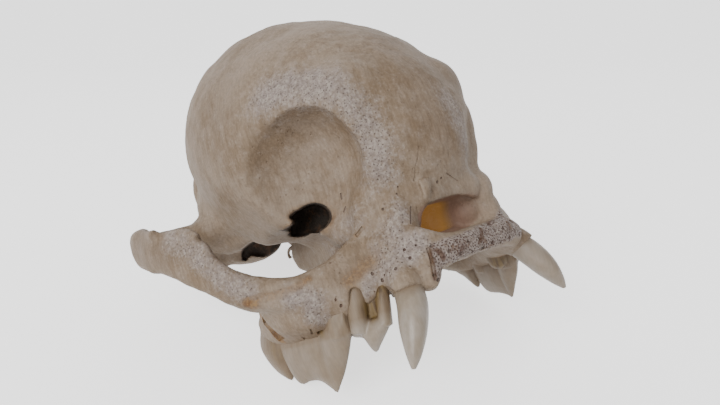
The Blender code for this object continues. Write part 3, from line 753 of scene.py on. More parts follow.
def scatter_pits(thing, share, tree, spacing, radius, seed):
    """A mesh of pit cutters on the part of thing where share is over a half."""
    builder = bmesh.new()
    builder.from_mesh(thing.data)
    builder.verts.ensure_lookup_table()
    bmesh.ops.delete(builder, geom=[v for v, s in zip(builder.verts, share) if s < 0.5], context="VERTS")
    home = new_home("pits")
    pits = object_from("pits", builder, home)
    step = pits.modifiers.new("pits", "NODES")
    step.node_group = tree
    settings = {"Spacing": spacing * MM, "Radius": radius * MM, "Seed": seed}
    for item in tree.interface.items_tree:
        if item.in_out == "INPUT" and item.name in settings:
            step[item.identifier] = settings[item.name]
    settle(pits)
    return home, pits


for spacing, radius, seed in PIT_SIZES:
    home, pits = scatter_pits(bone, spongy_share(points_of(bone)), pits_of, spacing, radius, seed)
    deep_points.append(points_of(pits))
    print("pits of", radius, "mm:", len(pits.data.vertices) // POINTS_OF_LUMP)
    combine(bone, home, "DIFFERENCE")

deep_finder = kdtree.KDTree(sum(len(points) for points in deep_points))
for n, point in enumerate(np.vstack(deep_points)):
    deep_finder.insert(point, n)
deep_finder.balance()

# %% [markdown]
# ## One skull, six bones
#
# The measured model is parted where the bones of a skull meet. The fine surface is parted at the same places, but
# without the thin gap, so that no dark line runs where the real skull shows none. Knives could cut the mesh along
# a plane, but large blocks do it in one Boolean and close the cut. Three pitched planes part the jaw, the forehead
# and the nape, and two upright ones part the cheek arches.

# %% Parting the cranium
FAR = 130.0
ARCH_CUT = 34.2
cuts = {
    "jaw": ((0.0, 0.0, 24.5), -9.0),
    "forehead": ((0.0, 36.0, 72.0), -103.0),
    "nape": ((0.0, 74.5, 40.0), -92.0),
}
below = {name: (*cut, (-FAR, -FAR, -FAR), (FAR, FAR, 0.0)) for name, cut in cuts.items()}
above = {name: (*cut, (-FAR, -FAR, 0.0), (FAR, FAR, FAR)) for name, cut in cuts.items()}


def slab(first_x, last_x):
    return (0, 0, 0), 0, (first_x, -FAR, -FAR), (last_x, FAR, FAR)


both_arches = [slab(-FAR, -ARCH_CUT), slab(ARCH_CUT, FAR)]
parting = {
    "upper_jaw": [above["jaw"], *both_arches],
    "frontal_bone": [below["jaw"], above["forehead"], *both_arches],
    "braincase": [below["jaw"], below["forehead"], above["nape"], *both_arches],
    "occiput": [below["nape"]],
    "zygomatic_arch_right": [slab(-ARCH_CUT, FAR)],
    "zygomatic_arch_left": [slab(-FAR, ARCH_CUT)],
}
print({name: len(blocks) for name, blocks in parting.items()}, "blocks")

# %% [markdown]
# ## Cutting the six parts
#
# Each part is a copy of the whole from which its blocks take away the rest, and it gets the name of its measured
# bone. Smooth shading hides the small faces, but edges that are sharper than 60 degrees stay sharp, such as the
# rims of the pits.

# %% Six parts
skull = []
finished = new_home("skull")
for name, blocks in parting.items():
    piece = bpy.data.objects.new(name + "_surface", bone.data.copy())
    finished.objects.link(piece)
    knives = new_home("knives")
    for point, pitch, low, high in blocks:
        block(knives, point, pitch, low, high)
    combine(piece, knives, "DIFFERENCE")
    largest_piece(piece)
    piece.data.shade_smooth()
    piece.data.set_sharp_from_angle(angle=math.radians(60))
    skull.append((piece, name))
    print(name, len(piece.data.polygons), "faces")
bpy.data.objects.remove(bone)

# %% [markdown]
# ## Where the bone is stained
#
# The bone is not evenly coloured. It is amber along the cheek and at the roots of the teeth, where old glue of the
# body has stayed in it, rusty beside the canine, and darker on the brow, the vault, the cheek arch, the cheek above
# the teeth and the upper wall of the eye socket. A noise could scatter such stains, but these have their places, so
# each is a line of points with the radius and the strength of its mark.

# %% Stains
BRAIN_HOLE_RIM = BRAIN_HOLE + BRAIN_HOLE[:1]
BASE_HOLE_RIM = BASE_HOLE + BASE_HOLE[:1]
AMBER = [
    ([(-37.4, 24.1, 8.6), (-35.4, 21.5, 8.2), (-33.0, 19.2, 7.9), (-31.5, 18.1, 8.0), (-29.8, 17.1, 8.5),
      (-28.1, 16.4, 9.0)], 1.6, 0.75),
    ([(-37.3, 24.3, 8.0), (-36.7, 24.4, 7.2), (-36.3, 23.4, 7.2)], 1.6, 0.7),
    ([(-22.4, 13.4, 39.3), (-21.5, 12.3, 39.1), (-20.3, 10.8, 38.5), (-19.1, 9.2, 37.1)], 1.0, 0.4),
    ([(-33.1, 30.2, 4.6), (-32.6, 29.4, 2.7), (-31.9, 29.2, 1.3), (-31.2, 29.0, -0.5)], 2.2, 1.1),
    ([(-27.4, 19.6, 0.0), (-27.3, 19.8, -2.2)], 1.6, 1.0),
    ([(-24.4, 14.7, -0.8), (-24.5, 14.9, -2.6)], 1.2, 0.8),
    ([(-17.1, 11.4, 14.6), (-17.4, 12.2, 14.2), (-18.0, 13.1, 13.5)], 0.8, 0.7),
    ([(-12.4, 1.9, 7.4), (-12.9, 1.6, 4.0), (-13.2, 3.0, 1.6)], 0.9, 0.4),
    ([(-18.9, 10.2, 8.5), (-20.8, 11.2, 7.6), (-22.8, 12.4, 6.4)], 3.4, 0.62),
    ([(10.2, 1.8, 9.6), (11.0, 2.4, 9.6)], 1.2, 0.7),
    ([(-0.3, -0.1, 7.6), (-1.6, -0.9, 6.2), (-2.7, -1.0, 5.0)], 1.0, 0.3),
    ([(-5.0, 2.4, 8.8), (-3.4, 2.2, 8.8)], 0.7, 0.6),
    ([(7.6, 0.2, 8.0), (7.0, -0.8, 5.6)], 1.0, 0.4),
    ([(13.0, 8.0, 14.6), (12.4, 6.6, 18.0), (11.6, 6.0, 21.0)], 1.4, 0.3),
    ([(20.5, 16.5, -1.0), (21.6, 17.6, -2.5), (22.5, 19.5, -1.5)], 3.0, 1.0),
    (BRAIN_HOLE_RIM, 2.4, 0.5),
    (BASE_HOLE_RIM, 2.0, 0.45),
]
RUSTY = [
    ([(-11.8, 0.6, 6.8), (-11.3, 0.5, 6.0), (-11.0, 0.5, 5.0)], 0.9, 1.0),
    ([(-0.6, -0.3, 7.6), (-1.6, -0.9, 6.4), (-2.8, -1.0, 5.4)], 0.8, 0.9),
    ([(-7.4, -0.4, 4.9), (-7.0, -0.8, 5.6)], 1.2, 0.3),
    ([(3.9, 1.2, 8.6), (4.6, 1.0, 8.5)], 1.2, 0.4),
    ([(7.4, -0.4, 6.8), (6.4, -0.9, 5.4)], 1.2, 0.3),
    ([(-12.6, 1.5, 7.0), (-12.9, 1.5, 4.4), (-13.0, 2.0, 2.2)], 0.8, 1.0),
]
DEEPER_TONE = [
    ([(3, 8, 48), (0, 2, 38), (-2, 0, 29)], 12.0, 0.75),
    ([(12, 6, 44), (12, 4, 36)], 8.0, 0.5),
    ([(-30, 54, 52), (-31.5, 47, 43)], 14.0, 0.5),
    ([(-29, 33, 48), (-27, 34, 56)], 12.0, 0.6),
    ([(-46.2, 52, 27), (-45.8, 44, 24), (-44.6, 39.6, 22)], 6.0, 0.9),
    ([(-46.4, 50.0, 28.8), (-44.6, 44.0, 28.4), (-43.0, 39.5, 27.4)], 2.2, 0.6),
    ([(-18.9, 10.2, 8.5), (-20.8, 11.2, 7.6), (-22.8, 12.4, 6.4)], 3.6, 1.0),
    ([(-31.5, 28.0, 0.0), (-29.6, 23.0, 0.0), (-26.0, 17.0, 3.0)], 4.0, 0.6),
    ([(-31.0, 18.4, 6.4), (-28.6, 16.4, 5.6)], 3.6, 0.6),
    ([(-20.6, 18.4, 37.6), (-18.0, 16.0, 38.0)], 8.0, 0.25),
]
print(len(AMBER), "amber,", len(RUSTY), "rusty and", len(DEEPER_TONE), "tanned places")

# %% [markdown]
# ## Inside the nose and the broken holes
#
# The broken holes are painted near black inside, a painted shade. In the nose a painted glow stands in for light: the
# far wall gives off amber light of its own, and the near one is dark umber with a faint umber glow. Ray casting would
# find what lies inside, but the outlines are known, so the point is tested against them: is it in the outline, and
# how far behind it?

# %% Inside marks
NOSE = [(1 + 9.4 * math.cos(angle), 2.0, 13.0 + 4.6 * math.sin(angle))
        for angle in np.linspace(0, 2 * math.pi, 24, endpoint=False)]


def inside_marks(places):
    """The umber mark and the painted glow of the nose, and the painted shade of the broken holes on both sides."""
    x, y, z = places.T
    inside = within(places, NOSE, (0, 1, 0), 0.3, 1.6, 30.0)
    # The far part of the nose gets the painted glow, the near part umber with a fainter painted glow.
    deep = np.clip((y - 10.0) / 3.0, 0, 1)
    right_part = np.clip((9.5 - x) / 5.0, 0, 1)
    under_roof = np.clip(np.maximum(15.6 - z, y - 5.0) / 1.5, 0.15, 1)
    # Painted shade inside the broken holes, on both sides.
    hole_shade = sum(within(these, outline, way) for these in (places, places * (-1, 1, 1))
               for outline, way in ((BRAIN_HOLE, BRAIN_HOLE_WAY), (BASE_HOLE, BASE_HOLE_WAY)))
    return {"umber_and_painted_light": inside * (1 - deep) * right_part * under_roof, "painted_glow": inside * deep, "hole_shade": hole_shade}


print("the nose is", round(NOSE[0][0] - NOSE[12][0], 1), "mm wide")

# %% [markdown]
# ## Writing the marks
#
# Every mark becomes an attribute with one number for each point, on every part of the skull. The finish reads it
# by its name, and the number slides smoothly over the faces between the points. No image has to be unwrapped, and
# the marks stay with the mesh wherever it goes.

# %% Writing the marks
SAME_PLACE = 0.01


def deep_share(places):
    """1 at the points that lie deep in a pit or slit, which are the points that the cutters left and where shade is
    painted.
    """
    return np.array([deep_finder.find(place)[2] < SAME_PLACE for place in places], float)


for piece, node in skull:
    places = points_of(piece)
    marks = inside_marks(places)
    marks["porous"] = marked(places, POROUS)
    marks["spongy"] = spongy_share(places)
    # The amber mark also takes in the painted glow of the nose.
    marks["amber"] = marked(places, AMBER) + marks["painted_glow"]
    marks["rust"] = marked(places, RUSTY)
    # Painted shade deep in the pits and slits, and the rust lines beside the canine.
    marks["pit_shade_and_rust"] = deep_share(places) + sum(near(places, line, radius) for line, radius, _ in RUSTY)
    marks["deeper_tone"] = marked(places, DEEPER_TONE)
    for mark, values in marks.items():
        write_marks(piece, mark, values)
    print(node, {mark: round(float(values.mean()), 3) for mark, values in marks.items()})

# %% [markdown]
# ## Teeth
#
# A dog's upper teeth are cones and blades: a long curved canine, a small premolar with two roots, the carnassial
# that shears meat, and two flat molars behind it. Each tooth is a few bars grown together at a fine scale. Crowns
# keep upright sections, which leaves their tips keen. Roots run up into the jaw.


# %% Canine and premolar
def crown(home, side, profile, top):
    """A crown along the row of teeth: profile lists x, y, the lowest point there and the half width."""
    bar(home, [(x, y, (low + top) / 2, wide, (top - low) / 2) for x, y, low, wide in profile], side,
        fullness=1.5, upright=True)


def root(home, side, x, y, low, high, radius, lean=0.0, forward=0.0):
    """A root that tapers up into the bone and leans towards the midline by lean, and forward."""
    bar(home, [(x, y, low, radius, radius),
               (x - lean / 2, y - forward / 2, (low + high) / 2, radius, radius),
               (x - lean, y - forward, high, radius * 0.6, radius * 0.6)], side, up=(0, 1, 0))


def canine(home, side):
    bar(home, [(13.6, 10, 9, 2, 2.2), (15.3, 7.1, 3.4, 2.4, 2.6), (17.1, 4.9, -0.5, 2.6, 2.8),
               (19.2, 4, -4.2, 2.3, 2.5), (21, 3.6, -7.6, 1.4, 1.5), (22.2, 3.5, -9.9, 0.4, 0.4)], side,
        up=(0, 1, 0), sides=32, steps=10)


def premolar(home, side):
    crown(home, side, [(19.4, 9, -2.6, 0.6), (20, 10.2, -4, 1.3), (20.9, 12.2, -6.1, 1.4), (21.3, 13.0, -7.0, 1.4),
                       (21.6, 13.7, -6.8, 1.4), (21.9, 14.4, -4.6, 1.4), (22.3, 15.5, -4.0, 1.4),
                       (22.7, 16.6, -3.7, 1.2), (22.8, 17.2, -2.4, 0.6)], -1.2)
    bar(home, [(19.9, 10.2, -3, 1.25, 1.25), (19.1, 9.7, 1.4, 1.25, 1.25), (17.9, 10.2, 4, 1.0, 1.0),
               (16.6, 11.0, 6, 0.7, 0.7)], side, up=(0, 1, 0))
    bar(home, [(22.5, 14.8, -3, 1.9, 1.9), (21.8, 13.9, 2.2, 1.95, 1.95), (21.0, 14.0, 4.6, 1.8, 1.8),
               (19.2, 15, 7, 1.0, 1.0)], side, up=(0, 1, 0))
    bar(home, [(19.4, 11.0, -0.2, 0.5, 2.8), (20.2, 13.2, 0.4, 0.6, 3.4), (20.8, 15, 0.2, 0.5, 3.4)], side,
        upright=True)


print("front teeth:", canine.__name__, "and", premolar.__name__)

# %% [markdown]
# ## Cheek teeth
#
# The carnassial is a blade with two cusps, and the molars are broad and low. The teeth of the left side are worn
# a little shorter than those of the right, so a small height raises the points of their crowns. Sculpting each
# tooth apart would give more character, but one recipe for both sides is easier to change.


# %% Carnassial and molars
def carnassial(home, side):
    raised = 0.8 if side > 0 else 0.0
    crown(home, side, [(24.2, 14.8, -2.4, 1.0), (24.8, 16.4, -5.4, 1.7), (25.6, 18.8, -9 + raised, 2.0),
                       (26.3, 20.8, -11.4 + raised, 1.6), (26.7, 21.8, -12.5 + 1.5 * raised, 1.1),
                       (27, 22.8, -11.5 + raised, 1.5), (27.5, 25, -10.0, 1.9), (28.2, 27.6, -9.7, 2.0),
                       (28.9, 30.2, -10.1 + raised, 1.8), (29.2, 31.8, -8.7 + raised, 1.4),
                       (29.3, 32.7, -4.6, 0.7)], 2.4)
    bar(home, [(21, 18, 5, 1.8, 2.2), (21.6, 17.6, -1, 2, 2.4), (22.2, 17.6, -3.0, 0.7, 0.8)], side, up=(0, 1, 0))
    root(home, side, 25.2, 17.4, -3, 7, 2.2, 2)
    root(home, side, 28, 28.4, -3, 7, 2.4, 2)


def molar(home, side):
    raised = 1.4 if side > 0 else 0.0
    crown(home, side, [(29, 32, -5 + raised, 1.2), (29.2, 33.4, -9 + raised, 2.1),
                       (29.6, 35.4, -8.4 + raised * 1.4, 2.3), (29.6, 37.4, -7.4 + raised * 2.2, 2.2),
                       (29.2, 39.6, -5.6 + raised * 2.4, 2), (28.6, 41.8, -2.4 + raised * 2.4, 1.2)], 2.6 + raised)
    bar(home, [(28, 36, -0.6 + raised, 4, 3.2), (24, 36.8, -0.2 + raised * 1.8, 3.6, 2.8),
               (20.6, 37.4, raised * 2.4, 2.8, 2.4), (18.6, 37.6, 0.4 + raised * 2.4, 1.6, 1.8)], side)
    root(home, side, 29, 34, -2, 7, 2.0, 2)
    root(home, side, 28.8, 39.6, -1, 7, 1.9, 1.4)
    root(home, side, 20.6, 37.4, 1, 7, 2.0)


def last_molar(home, side):
    bar(home, [(26.6, 42.4, 1.8, 1.0, 1.4), (24.6, 43.2, 1.2, 2.0, 2.4), (21, 42.8, 1.6, 1.8, 1.8),
               (19.4, 42.4, 2, 1, 1)], side)
    root(home, side, 24.6, 43.2, 1, 7, 1.5)
    root(home, side, 21.4, 42.8, 1, 7, 1.5)


print("cheek teeth:", carnassial.__name__, molar.__name__, last_molar.__name__)

# %% [markdown]
# ## Growing the teeth
#
# The bars of each tooth are joined, covered in cells a quarter of a millimetre wide and relaxed. The left premolar
# is missing, as in the real skull. Enamel covers only the crown, so a mark says where it ends: the root starts at
# the neck of the tooth. The enamel of the cheek teeth has dulled, so they have a large part of that mark
# everywhere.

# %% Growing the teeth
NECKS = {"canine": 1.2, "premolar": -1.6, "carnassial": -3.4, "molar": -4.0, "last_molar": -1.0}
DULLED = {"canine_right": 0.1, "premolar_right": 0.3, "canine_left": 0.5, "molar_right": 0.95}
DULLED_OTHERS = 0.75
TOOTH_AMBER = [
    ([(-27.4, 19.5, -1.3), (-27.2, 19.9, -0.2)], 1.3, 1.0),
    ([(-20.8, 12.6, 0.8), (-20.2, 12.0, -0.6), (-19.6, 10.6, 1.0), (-19.0, 10, 3.4)], 2.6, 1.4),
    ([(30, 34, -1.5), (28.6, 30.5, -1.5)], 2.6, 0.7),
    ([(20.8, 16.8, -2.0), (22.5, 19.0, -0.5)], 4.2, 1.1),
    ([(-31.6, 33.4, 0), (-31, 33.0, -4)], 2.6, 0.45),
]
teeth = []
for maker in (canine, premolar, carnassial, molar, last_molar):
    for side, where in ((-1, "right"), (1, "left")):
        if maker is premolar and side > 0:
            continue
        forms = new_home("forms")
        maker(forms, side)
        tooth = forms.objects[0]
        tooth.name = maker.__name__ + "_" + where
        forms.objects.unlink(tooth)
        finished.objects.link(tooth)
        if forms.objects:
            combine(tooth, forms, "UNION")
        soften(tooth, 0.24, 4)
        places = points_of(tooth)
        over_neck = (places[:, 2] - NECKS[maker.__name__]) / 2.4 + 0.5
        write_marks(tooth, "root", np.maximum(over_neck, DULLED.get(tooth.name, DULLED_OTHERS)))
        write_marks(tooth, "amber", marked(places, TOOTH_AMBER))
        tooth.data.shade_smooth()
        teeth.append(tooth)
        print(tooth.name, len(tooth.data.polygons), "faces")

# %% [markdown]
# ## Sums in a finish
#
# A finish is a graph of nodes, and each sum in it takes a Math node with two links. Written one by one they hide
# the idea. A small class that wraps a socket and knows the signs +, - and * lets the sum be written as in a book:
# each sign adds its own node. Numbers alone are worked out in Python, so no sign is needed for a division.


# %% Nodes by sums
class Value:
    """A socket of a finish, which can stand in a sum."""

    def __init__(self, finish, socket):
        self.finish = finish
        self.socket = socket

    def __add__(self, other):
        return self.finish.sum("ADD", self, other)

    def __radd__(self, other):
        return self.finish.sum("ADD", other, self)

    def __sub__(self, other):
        return self.finish.sum("SUBTRACT", self, other)

    def __rsub__(self, other):
        return self.finish.sum("SUBTRACT", other, self)

    def __mul__(self, other):
        return self.finish.sum("MULTIPLY", self, other)

    def __rmul__(self, other):
        return self.finish.sum("MULTIPLY", other, self)


print("a value knows the signs +, - and *")

# %% [markdown]
# ## Finishes
#
# Every finish needs the same few nodes: noises and cells for a pattern, marks for its places, a smooth step, a
# blend of two colours and the surface at the end. One method makes any node from its type, its settings and the
# values or links of its sockets, and the others only call it. All patterns read the object's own coordinates, so
# they stay where they are when the skull moves.


# %% Finishes
class Finish:
    """A material and the few ways in which its nodes are made."""

    def __init__(self, name):
        self.material = bpy.data.materials.get(name) or bpy.data.materials.new(name)
        self.material.use_nodes = True
        self.tree = self.material.node_tree
        self.tree.nodes.clear()

    def node(self, kind, settings=(), inputs=(), output=0):
        made = self.tree.nodes.new(kind)
        for key, value in dict(settings).items():
            setattr(made, key, value)
        for key, value in dict(inputs).items():
            if isinstance(value, Value):
                self.tree.links.new(value.socket, made.inputs[key])
            else:
                made.inputs[key].default_value = value
        return Value(self, made.outputs[output]) if made.outputs else made

    def sum(self, operation, first, second):
        return self.node("ShaderNodeMath", {"operation": operation}, {0: first, 1: second})

    def mark(self, name):
        """The number from 0 to 1 that was written at each point."""
        settings = {"attribute_type": "GEOMETRY", "attribute_name": name}
        return self.node("ShaderNodeAttribute", settings, output="Fac")

    def place(self, stretch=(1.0, 1.0, 1.0)):
        """Object coordinates turned into the skull's own frame, then stretched."""
        here = self.node("ShaderNodeTexCoord", output="Object")
        turned = self.node("ShaderNodeMapping", inputs={"Vector": here,
                           "Rotation": (math.radians(REST_PITCH), 0.0, 0.0)})
        return self.node("ShaderNodeMapping", inputs={"Vector": turned, "Scale": stretch})

    def noise(self, place, size_mm, detail=4.0, roughness=0.55):
        return self.node("ShaderNodeTexNoise", inputs={"Vector": place, "Scale": 1000.0 / size_mm,
                         "Detail": detail, "Roughness": roughness}, output="Fac")

    def cells(self, place, size_mm):
        return self.node("ShaderNodeTexVoronoi", inputs={"Vector": place, "Scale": 1000.0 / size_mm},
                         output="Distance")

    def step(self, value, low, high):
        """Rises smoothly from 0 at low to 1 at high."""
        return self.node("ShaderNodeMapRange", {"interpolation_type": "SMOOTHSTEP"},
                         {"Value": value, "From Min": low, "From Max": high})

    def blend(self, share, first, second, way="MIX"):
        return self.node("ShaderNodeMix", {"data_type": "RGBA", "blend_type": way},
                         {0: share, 6: first, 7: second}, output=2)

    def close(self, colour, roughness, height, depth_mm, **constants):
        bump = self.node("ShaderNodeBump", inputs={"Height": height, "Distance": depth_mm * MM})
        inputs = {"Base Color": colour, "Roughness": roughness, "Normal": bump}
        inputs.update({key.replace("_", " "): value for key, value in constants.items()})
        surface = self.node("ShaderNodeBsdfPrincipled", inputs=inputs)
        self.node("ShaderNodeOutputMaterial", inputs={"Surface": surface})
        return self.material


print("a finish has node, sum, mark, place, noise, cells, step, blend and close")

# %% [markdown]
# ## Bone
#
# Bone that has lain in the ground and was then cleaned is not white: it is warm grey with paler and browner clouds.
# Under them run fine fibres, and everywhere are tiny pores for blood vessels. Each layer is a colour that a mark or a
# noise blends over the last one: first the clean bone, then chalk and sponge, then dirt and stains, then painted
# shade in the pits and the broken holes, and last a painted glow in the nose.

# %% Colours of bone
TAN = (0.21, 0.147, 0.093, 1.0)
PALE = (0.295, 0.225, 0.165, 1.0)
CHALK = (0.32, 0.273, 0.256, 1.0)
# Painted shade for the insides of pits and slits and for small specks.
PIT_SHADE = (0.10, 0.07, 0.055, 1.0)
# Two colours of the painted glow inside the nose, which gives off light though it is no lamp.
PAINTED_LIGHT_ORANGE = (0.34, 0.12, 0.02, 1.0)
PAINTED_LIGHT_HONEY = (0.36, 0.2, 0.06, 1.0)
# Umber colours the near wall of the nose and also its faint painted glow.
UMBER = (0.165, 0.1, 0.07, 1.0)
# Painted shade, near black, for the inside of the broken holes.
HOLE_SHADE_COLOUR = (0.06, 0.047, 0.036, 1.0)
RUST = (0.055, 0.018, 0.008, 1.0)
NO_LIGHT = (0.0, 0.0, 0.0, 1.0)
TONE_DOWN = (0.77, 0.735, 0.7, 1.0)
SPONGE = (0.335, 0.275, 0.25, 1.0)
BROWN = (0.13, 0.075, 0.045, 1.0)
GRAIN = (0.40, 0.345, 0.29, 1.0)
DUST = (0.18, 0.137, 0.11, 1.0)
RESIN = (0.15, 0.068, 0.022, 1.0)
WAX = (0.25, 0.15, 0.065, 1.0)
print("chalk is", round(CHALK[0] / TAN[0], 2), "times as bright as the darkest clean bone")

# %% [markdown]
# ## The finish of bone
#
# The noises come in the sizes that the eye finds on the real thing: clouds of a centimetre, mottling of a few
# millimetres, grain of half a millimetre and less, and fibres drawn out along the skull's height. The same noises
# make the bumps, so that colour and surface belong together.


# %% The finish of bone
def grey(f, value):
    return f.node("ShaderNodeCombineColor", inputs={"Red": value, "Green": value, "Blue": value})


def bone_finish():
    f = Finish("old bone")
    place = f.place()
    marks = {name: f.mark(name) for name in
             ("porous", "amber", "umber_and_painted_light", "hole_shade", "spongy", "pit_shade_and_rust", "rust", "painted_glow", "deeper_tone")}
    clouds = f.noise(place, 14.0, 3.0)
    mottle = f.noise(place, 2.6, 5.0, 0.6)
    fine = f.noise(place, 0.5, 3.0)
    fibres = f.noise(f.place((1.0, 1.0, 0.12)), 0.6, 4.0, 0.6)
    pores = 1.0 - f.step(f.cells(place, 1.3), 0.06, 0.2)
    grain = f.noise(place, 0.32, 2.0, 0.7)
    chalk = f.step(marks["porous"] + 1.3 * (mottle - 0.5) + 1.3 * (fine - 0.5), 0.0, 1.1)
    specks = (1.0 - f.step(f.cells(place, 0.5), 0.14, 0.4)) * f.step(marks["porous"], 0.1, 0.7)
    specks = specks * f.step(grain, 0.42, 0.6)
    colour = f.blend(f.step(0.5 * clouds + 0.35 * mottle + 0.15 * fibres, 0.38, 0.6), TAN, PALE)
    # The colour is made darker at the listed darker places.
    colour = f.blend(marks["deeper_tone"], colour, TONE_DOWN, "MULTIPLY")
    colour = f.blend(chalk * 0.75, colour, CHALK)
    coarse = f.noise(place, 0.85, 2.0, 0.75)
    colour = f.blend(chalk * f.step(coarse, 0.5, 0.62) * 0.7, colour, GRAIN)
    colour = f.blend(chalk * (1.0 - f.step(coarse, 0.38, 0.48)) * 0.55, colour, DUST)
    # Specks are small pits, darkened by painted shade.
    colour = f.blend(specks * 0.7, colour, PIT_SHADE)
    sponge = f.blend(f.step(grain, 0.36, 0.62), DUST, SPONGE)
    sponge = f.blend(f.step(fine, 0.56, 0.7) * 0.7, sponge, GRAIN)
    sponge = f.blend(f.step(mottle + 0.5 * (fine - 0.5), 0.58, 0.72) * 0.8, sponge, BROWN)
    colour = f.blend(marks["spongy"], colour, sponge)
    # Painted shade deep in the pits and slits, mixed with rust.
    colour = f.blend(marks["pit_shade_and_rust"] * 0.7, colour, f.blend(f.step(mottle, 0.45, 0.6), PIT_SHADE, RUST))
    rust = f.step(marks["rust"] * (0.6 + 0.8 * fine), 0.15, 0.75)
    colour = f.blend(rust * 0.75, colour, f.blend(f.step(fine, 0.42, 0.58), BROWN, RUST))
    stain = f.blend(f.step(mottle + 0.6 * (fine - 0.5), 0.4, 0.6), RESIN, WAX)
    colour = f.blend(f.step(marks["amber"] + 0.9 * (fine - 0.5), 0.15, 1.0), colour, stain)
    colour = f.blend(marks["umber_and_painted_light"], colour, UMBER)
    # Painted shade inside the broken holes.
    colour = f.blend(marks["hole_shade"], colour, f.blend(f.step(mottle, 0.5, 0.64), HOLE_SHADE_COLOUR, BROWN))
    shade = 0.5 + 0.5 * fibres + 0.45 * fine - 0.2 * pores * f.step(mottle, 0.42, 0.7)
    colour = f.blend(1.0, colour, grey(f, shade), "MULTIPLY")
    height = 0.45 * mottle + 0.3 * fibres + 0.25 * fine - 0.35 * pores - 0.5 * specks
    # Painted light: the inside of the nose gets amber colour and gives off amber and umber light of its own.
    painted_light_colour = f.blend(f.step(clouds, 0.4, 0.6), PAINTED_LIGHT_ORANGE, PAINTED_LIGHT_HONEY)
    colour = f.blend(marks["painted_glow"], colour, painted_light_colour)
    painted_glow = f.blend(marks["painted_glow"], f.blend(marks["umber_and_painted_light"], NO_LIGHT, UMBER), painted_light_colour)
    return f.close(colour, 0.6 + 0.2 * chalk, height, 0.25, Specular_IOR_Level=0.3,
                   Emission_Color=painted_glow, Emission_Strength=0.35)


bone_material = bone_finish()
print(bone_material.name, "has", len(bone_material.node_tree.nodes), "nodes")

# %% [markdown]
# ## The finish of teeth
#
# Enamel is paler and glossier than bone, and the root below it is yellower, duller and drawn out in fine lines.
# Two materials with a border between them would meet in a hard edge, so one finish blends them by the mark of
# the root. Glue has dried in amber runs between the roots.


# %% The finish of teeth
PALE_ENAMEL, WARM_ENAMEL = (0.38, 0.33, 0.28, 1.0), (0.30, 0.24, 0.175, 1.0)
PALE_ROOT, WARM_ROOT = (0.215, 0.157, 0.102, 1.0), (0.168, 0.112, 0.064, 1.0)
OLD_GLUE, DRY_GLUE = (0.07, 0.038, 0.012, 1.0), (0.15, 0.097, 0.036, 1.0)


def tooth_finish():
    f = Finish("enamel and root")
    place = f.place()
    clouds = f.noise(place, 5.0, 3.0)
    lines = f.noise(f.place((1.0, 1.0, 0.2)), 0.8, 3.0)
    root_share, amber = f.mark("root"), f.mark("amber")
    enamel = f.blend(f.step(clouds, 0.3, 0.7), WARM_ENAMEL, PALE_ENAMEL)
    cement = f.blend(f.step(clouds, 0.3, 0.7), WARM_ROOT, PALE_ROOT)
    colour = f.blend(root_share, enamel, cement)
    colour = f.blend(amber, colour, f.blend(f.step(lines, 0.4, 0.6), OLD_GLUE, DRY_GLUE))
    streaks = f.noise(f.place((1.0, 1.0, 0.12)), 0.5, 3.0, 0.6)
    colour = f.blend(1.0, colour, grey(f, 0.8 + 0.4 * streaks), "MULTIPLY")
    height = lines * (0.3 + root_share) + 0.3 * clouds
    return f.close(colour, 0.3 + 0.22 * root_share, height, 0.1, Specular_IOR_Level=0.5)


tooth_material = tooth_finish()
print(tooth_material.name, "has", len(tooth_material.node_tree.nodes), "nodes")

# %% [markdown]
# ## Setting the skull down
#
# So far every shape is in the skull's own frame. Now the points themselves are carried to where the skull rests, and
# the objects stay unturned at the origin. A pattern that reads an object's own coordinates then stays where it is,
# whoever uses the model next. Each piece also hides the measured bone that it stands for.

# %% Setting the skull down
for piece, node in skull + [(tooth, "upper_jaw") for tooth in teeth]:
    piece.data.transform(AT_REST)
    piece.data.materials.clear()
    piece.data.materials.append(tooth_material if piece in teeth else bone_material)
    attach(piece, "root")
    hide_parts(node)
    print(piece.name, "stands for", node)

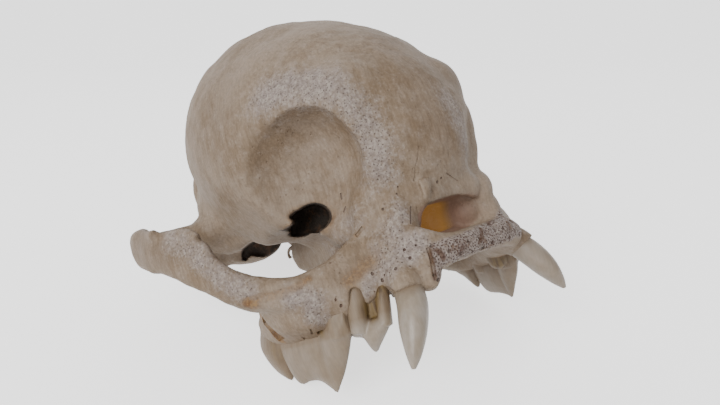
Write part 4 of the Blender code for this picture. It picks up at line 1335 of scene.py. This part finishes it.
# %% [markdown]
# ## Table and light
#
# The skull lies on a pale table that curves up behind it, so that no horizon shows. A bent plane would do, but a
# row of points along its side view, drawn across, gives the curve exactly. The paper gives off a little light of
# its own, as overlit paper does in a picture.

# %% Table
WALL_HEIGHT = 3.0
TABLE_TURN = -38.0
PAPER_GLOW = 1.45
profile = [(y, 0.0) for y in np.linspace(-2.0, 1.0, 12)]
profile += [(1.0 + math.sin(a), 1.0 - math.cos(a)) for a in np.linspace(0.1, math.pi / 2, 16)]
profile += [(2.0, z) for z in np.linspace(1.2, WALL_HEIGHT, 6)]
turn = Matrix.Rotation(math.radians(TABLE_TURN), 4, "Z")
builder = bmesh.new()
rows = [[builder.verts.new(turn @ Vector((x, y, z))) for y, z in profile] for x in (-4.0, 4.0)]
for n in range(len(profile) - 1):
    builder.faces.new((rows[0][n], rows[1][n], rows[1][n + 1], rows[0][n + 1]))
table = object_from("table", builder, bpy.context.scene.collection)
table.data.shade_smooth()
paper = Finish("pale paper")
tooth_of_paper = paper.noise(paper.node("ShaderNodeTexCoord", output="Object"), 2.0)
table.data.materials.append(paper.close((0.85, 0.85, 0.85, 1.0), 0.85, tooth_of_paper, 0.01,
                                        Emission_Color=(1.0, 1.0, 1.0, 1.0), Emission_Strength=PAPER_GLOW))
table.visible_diffuse = False
print("table of", len(table.data.polygons), "faces")

# %% [markdown]
# ## Light
#
# The light is that of a cloudy window on the left: one broad soft lamp, and a bright even surround that keeps the
# shadows open. Several lamps could open them too, but each would add a shadow of its own.


# %% Light
def lamp(name, place, aim, size, power):
    light = bpy.data.lights.new(name, "AREA")
    light.size = size
    light.energy = power
    made = bpy.data.objects.new(name, light)
    made.location = place
    made.rotation_euler = (Vector(aim) - Vector(place)).to_track_quat("-Z", "Y").to_euler()
    bpy.context.scene.collection.objects.link(made)


lamp("window", (-0.8, -0.3, 0.5), (0, 0, 0.03), 0.6, 8.0)
world = bpy.data.worlds.new("surround")
world.use_nodes = True
world.node_tree.nodes["Background"].inputs["Color"].default_value = (1.0, 1.0, 1.0, 1.0)
world.node_tree.nodes["Background"].inputs["Strength"].default_value = 0.62
bpy.context.scene.world = world
print("window and surround")
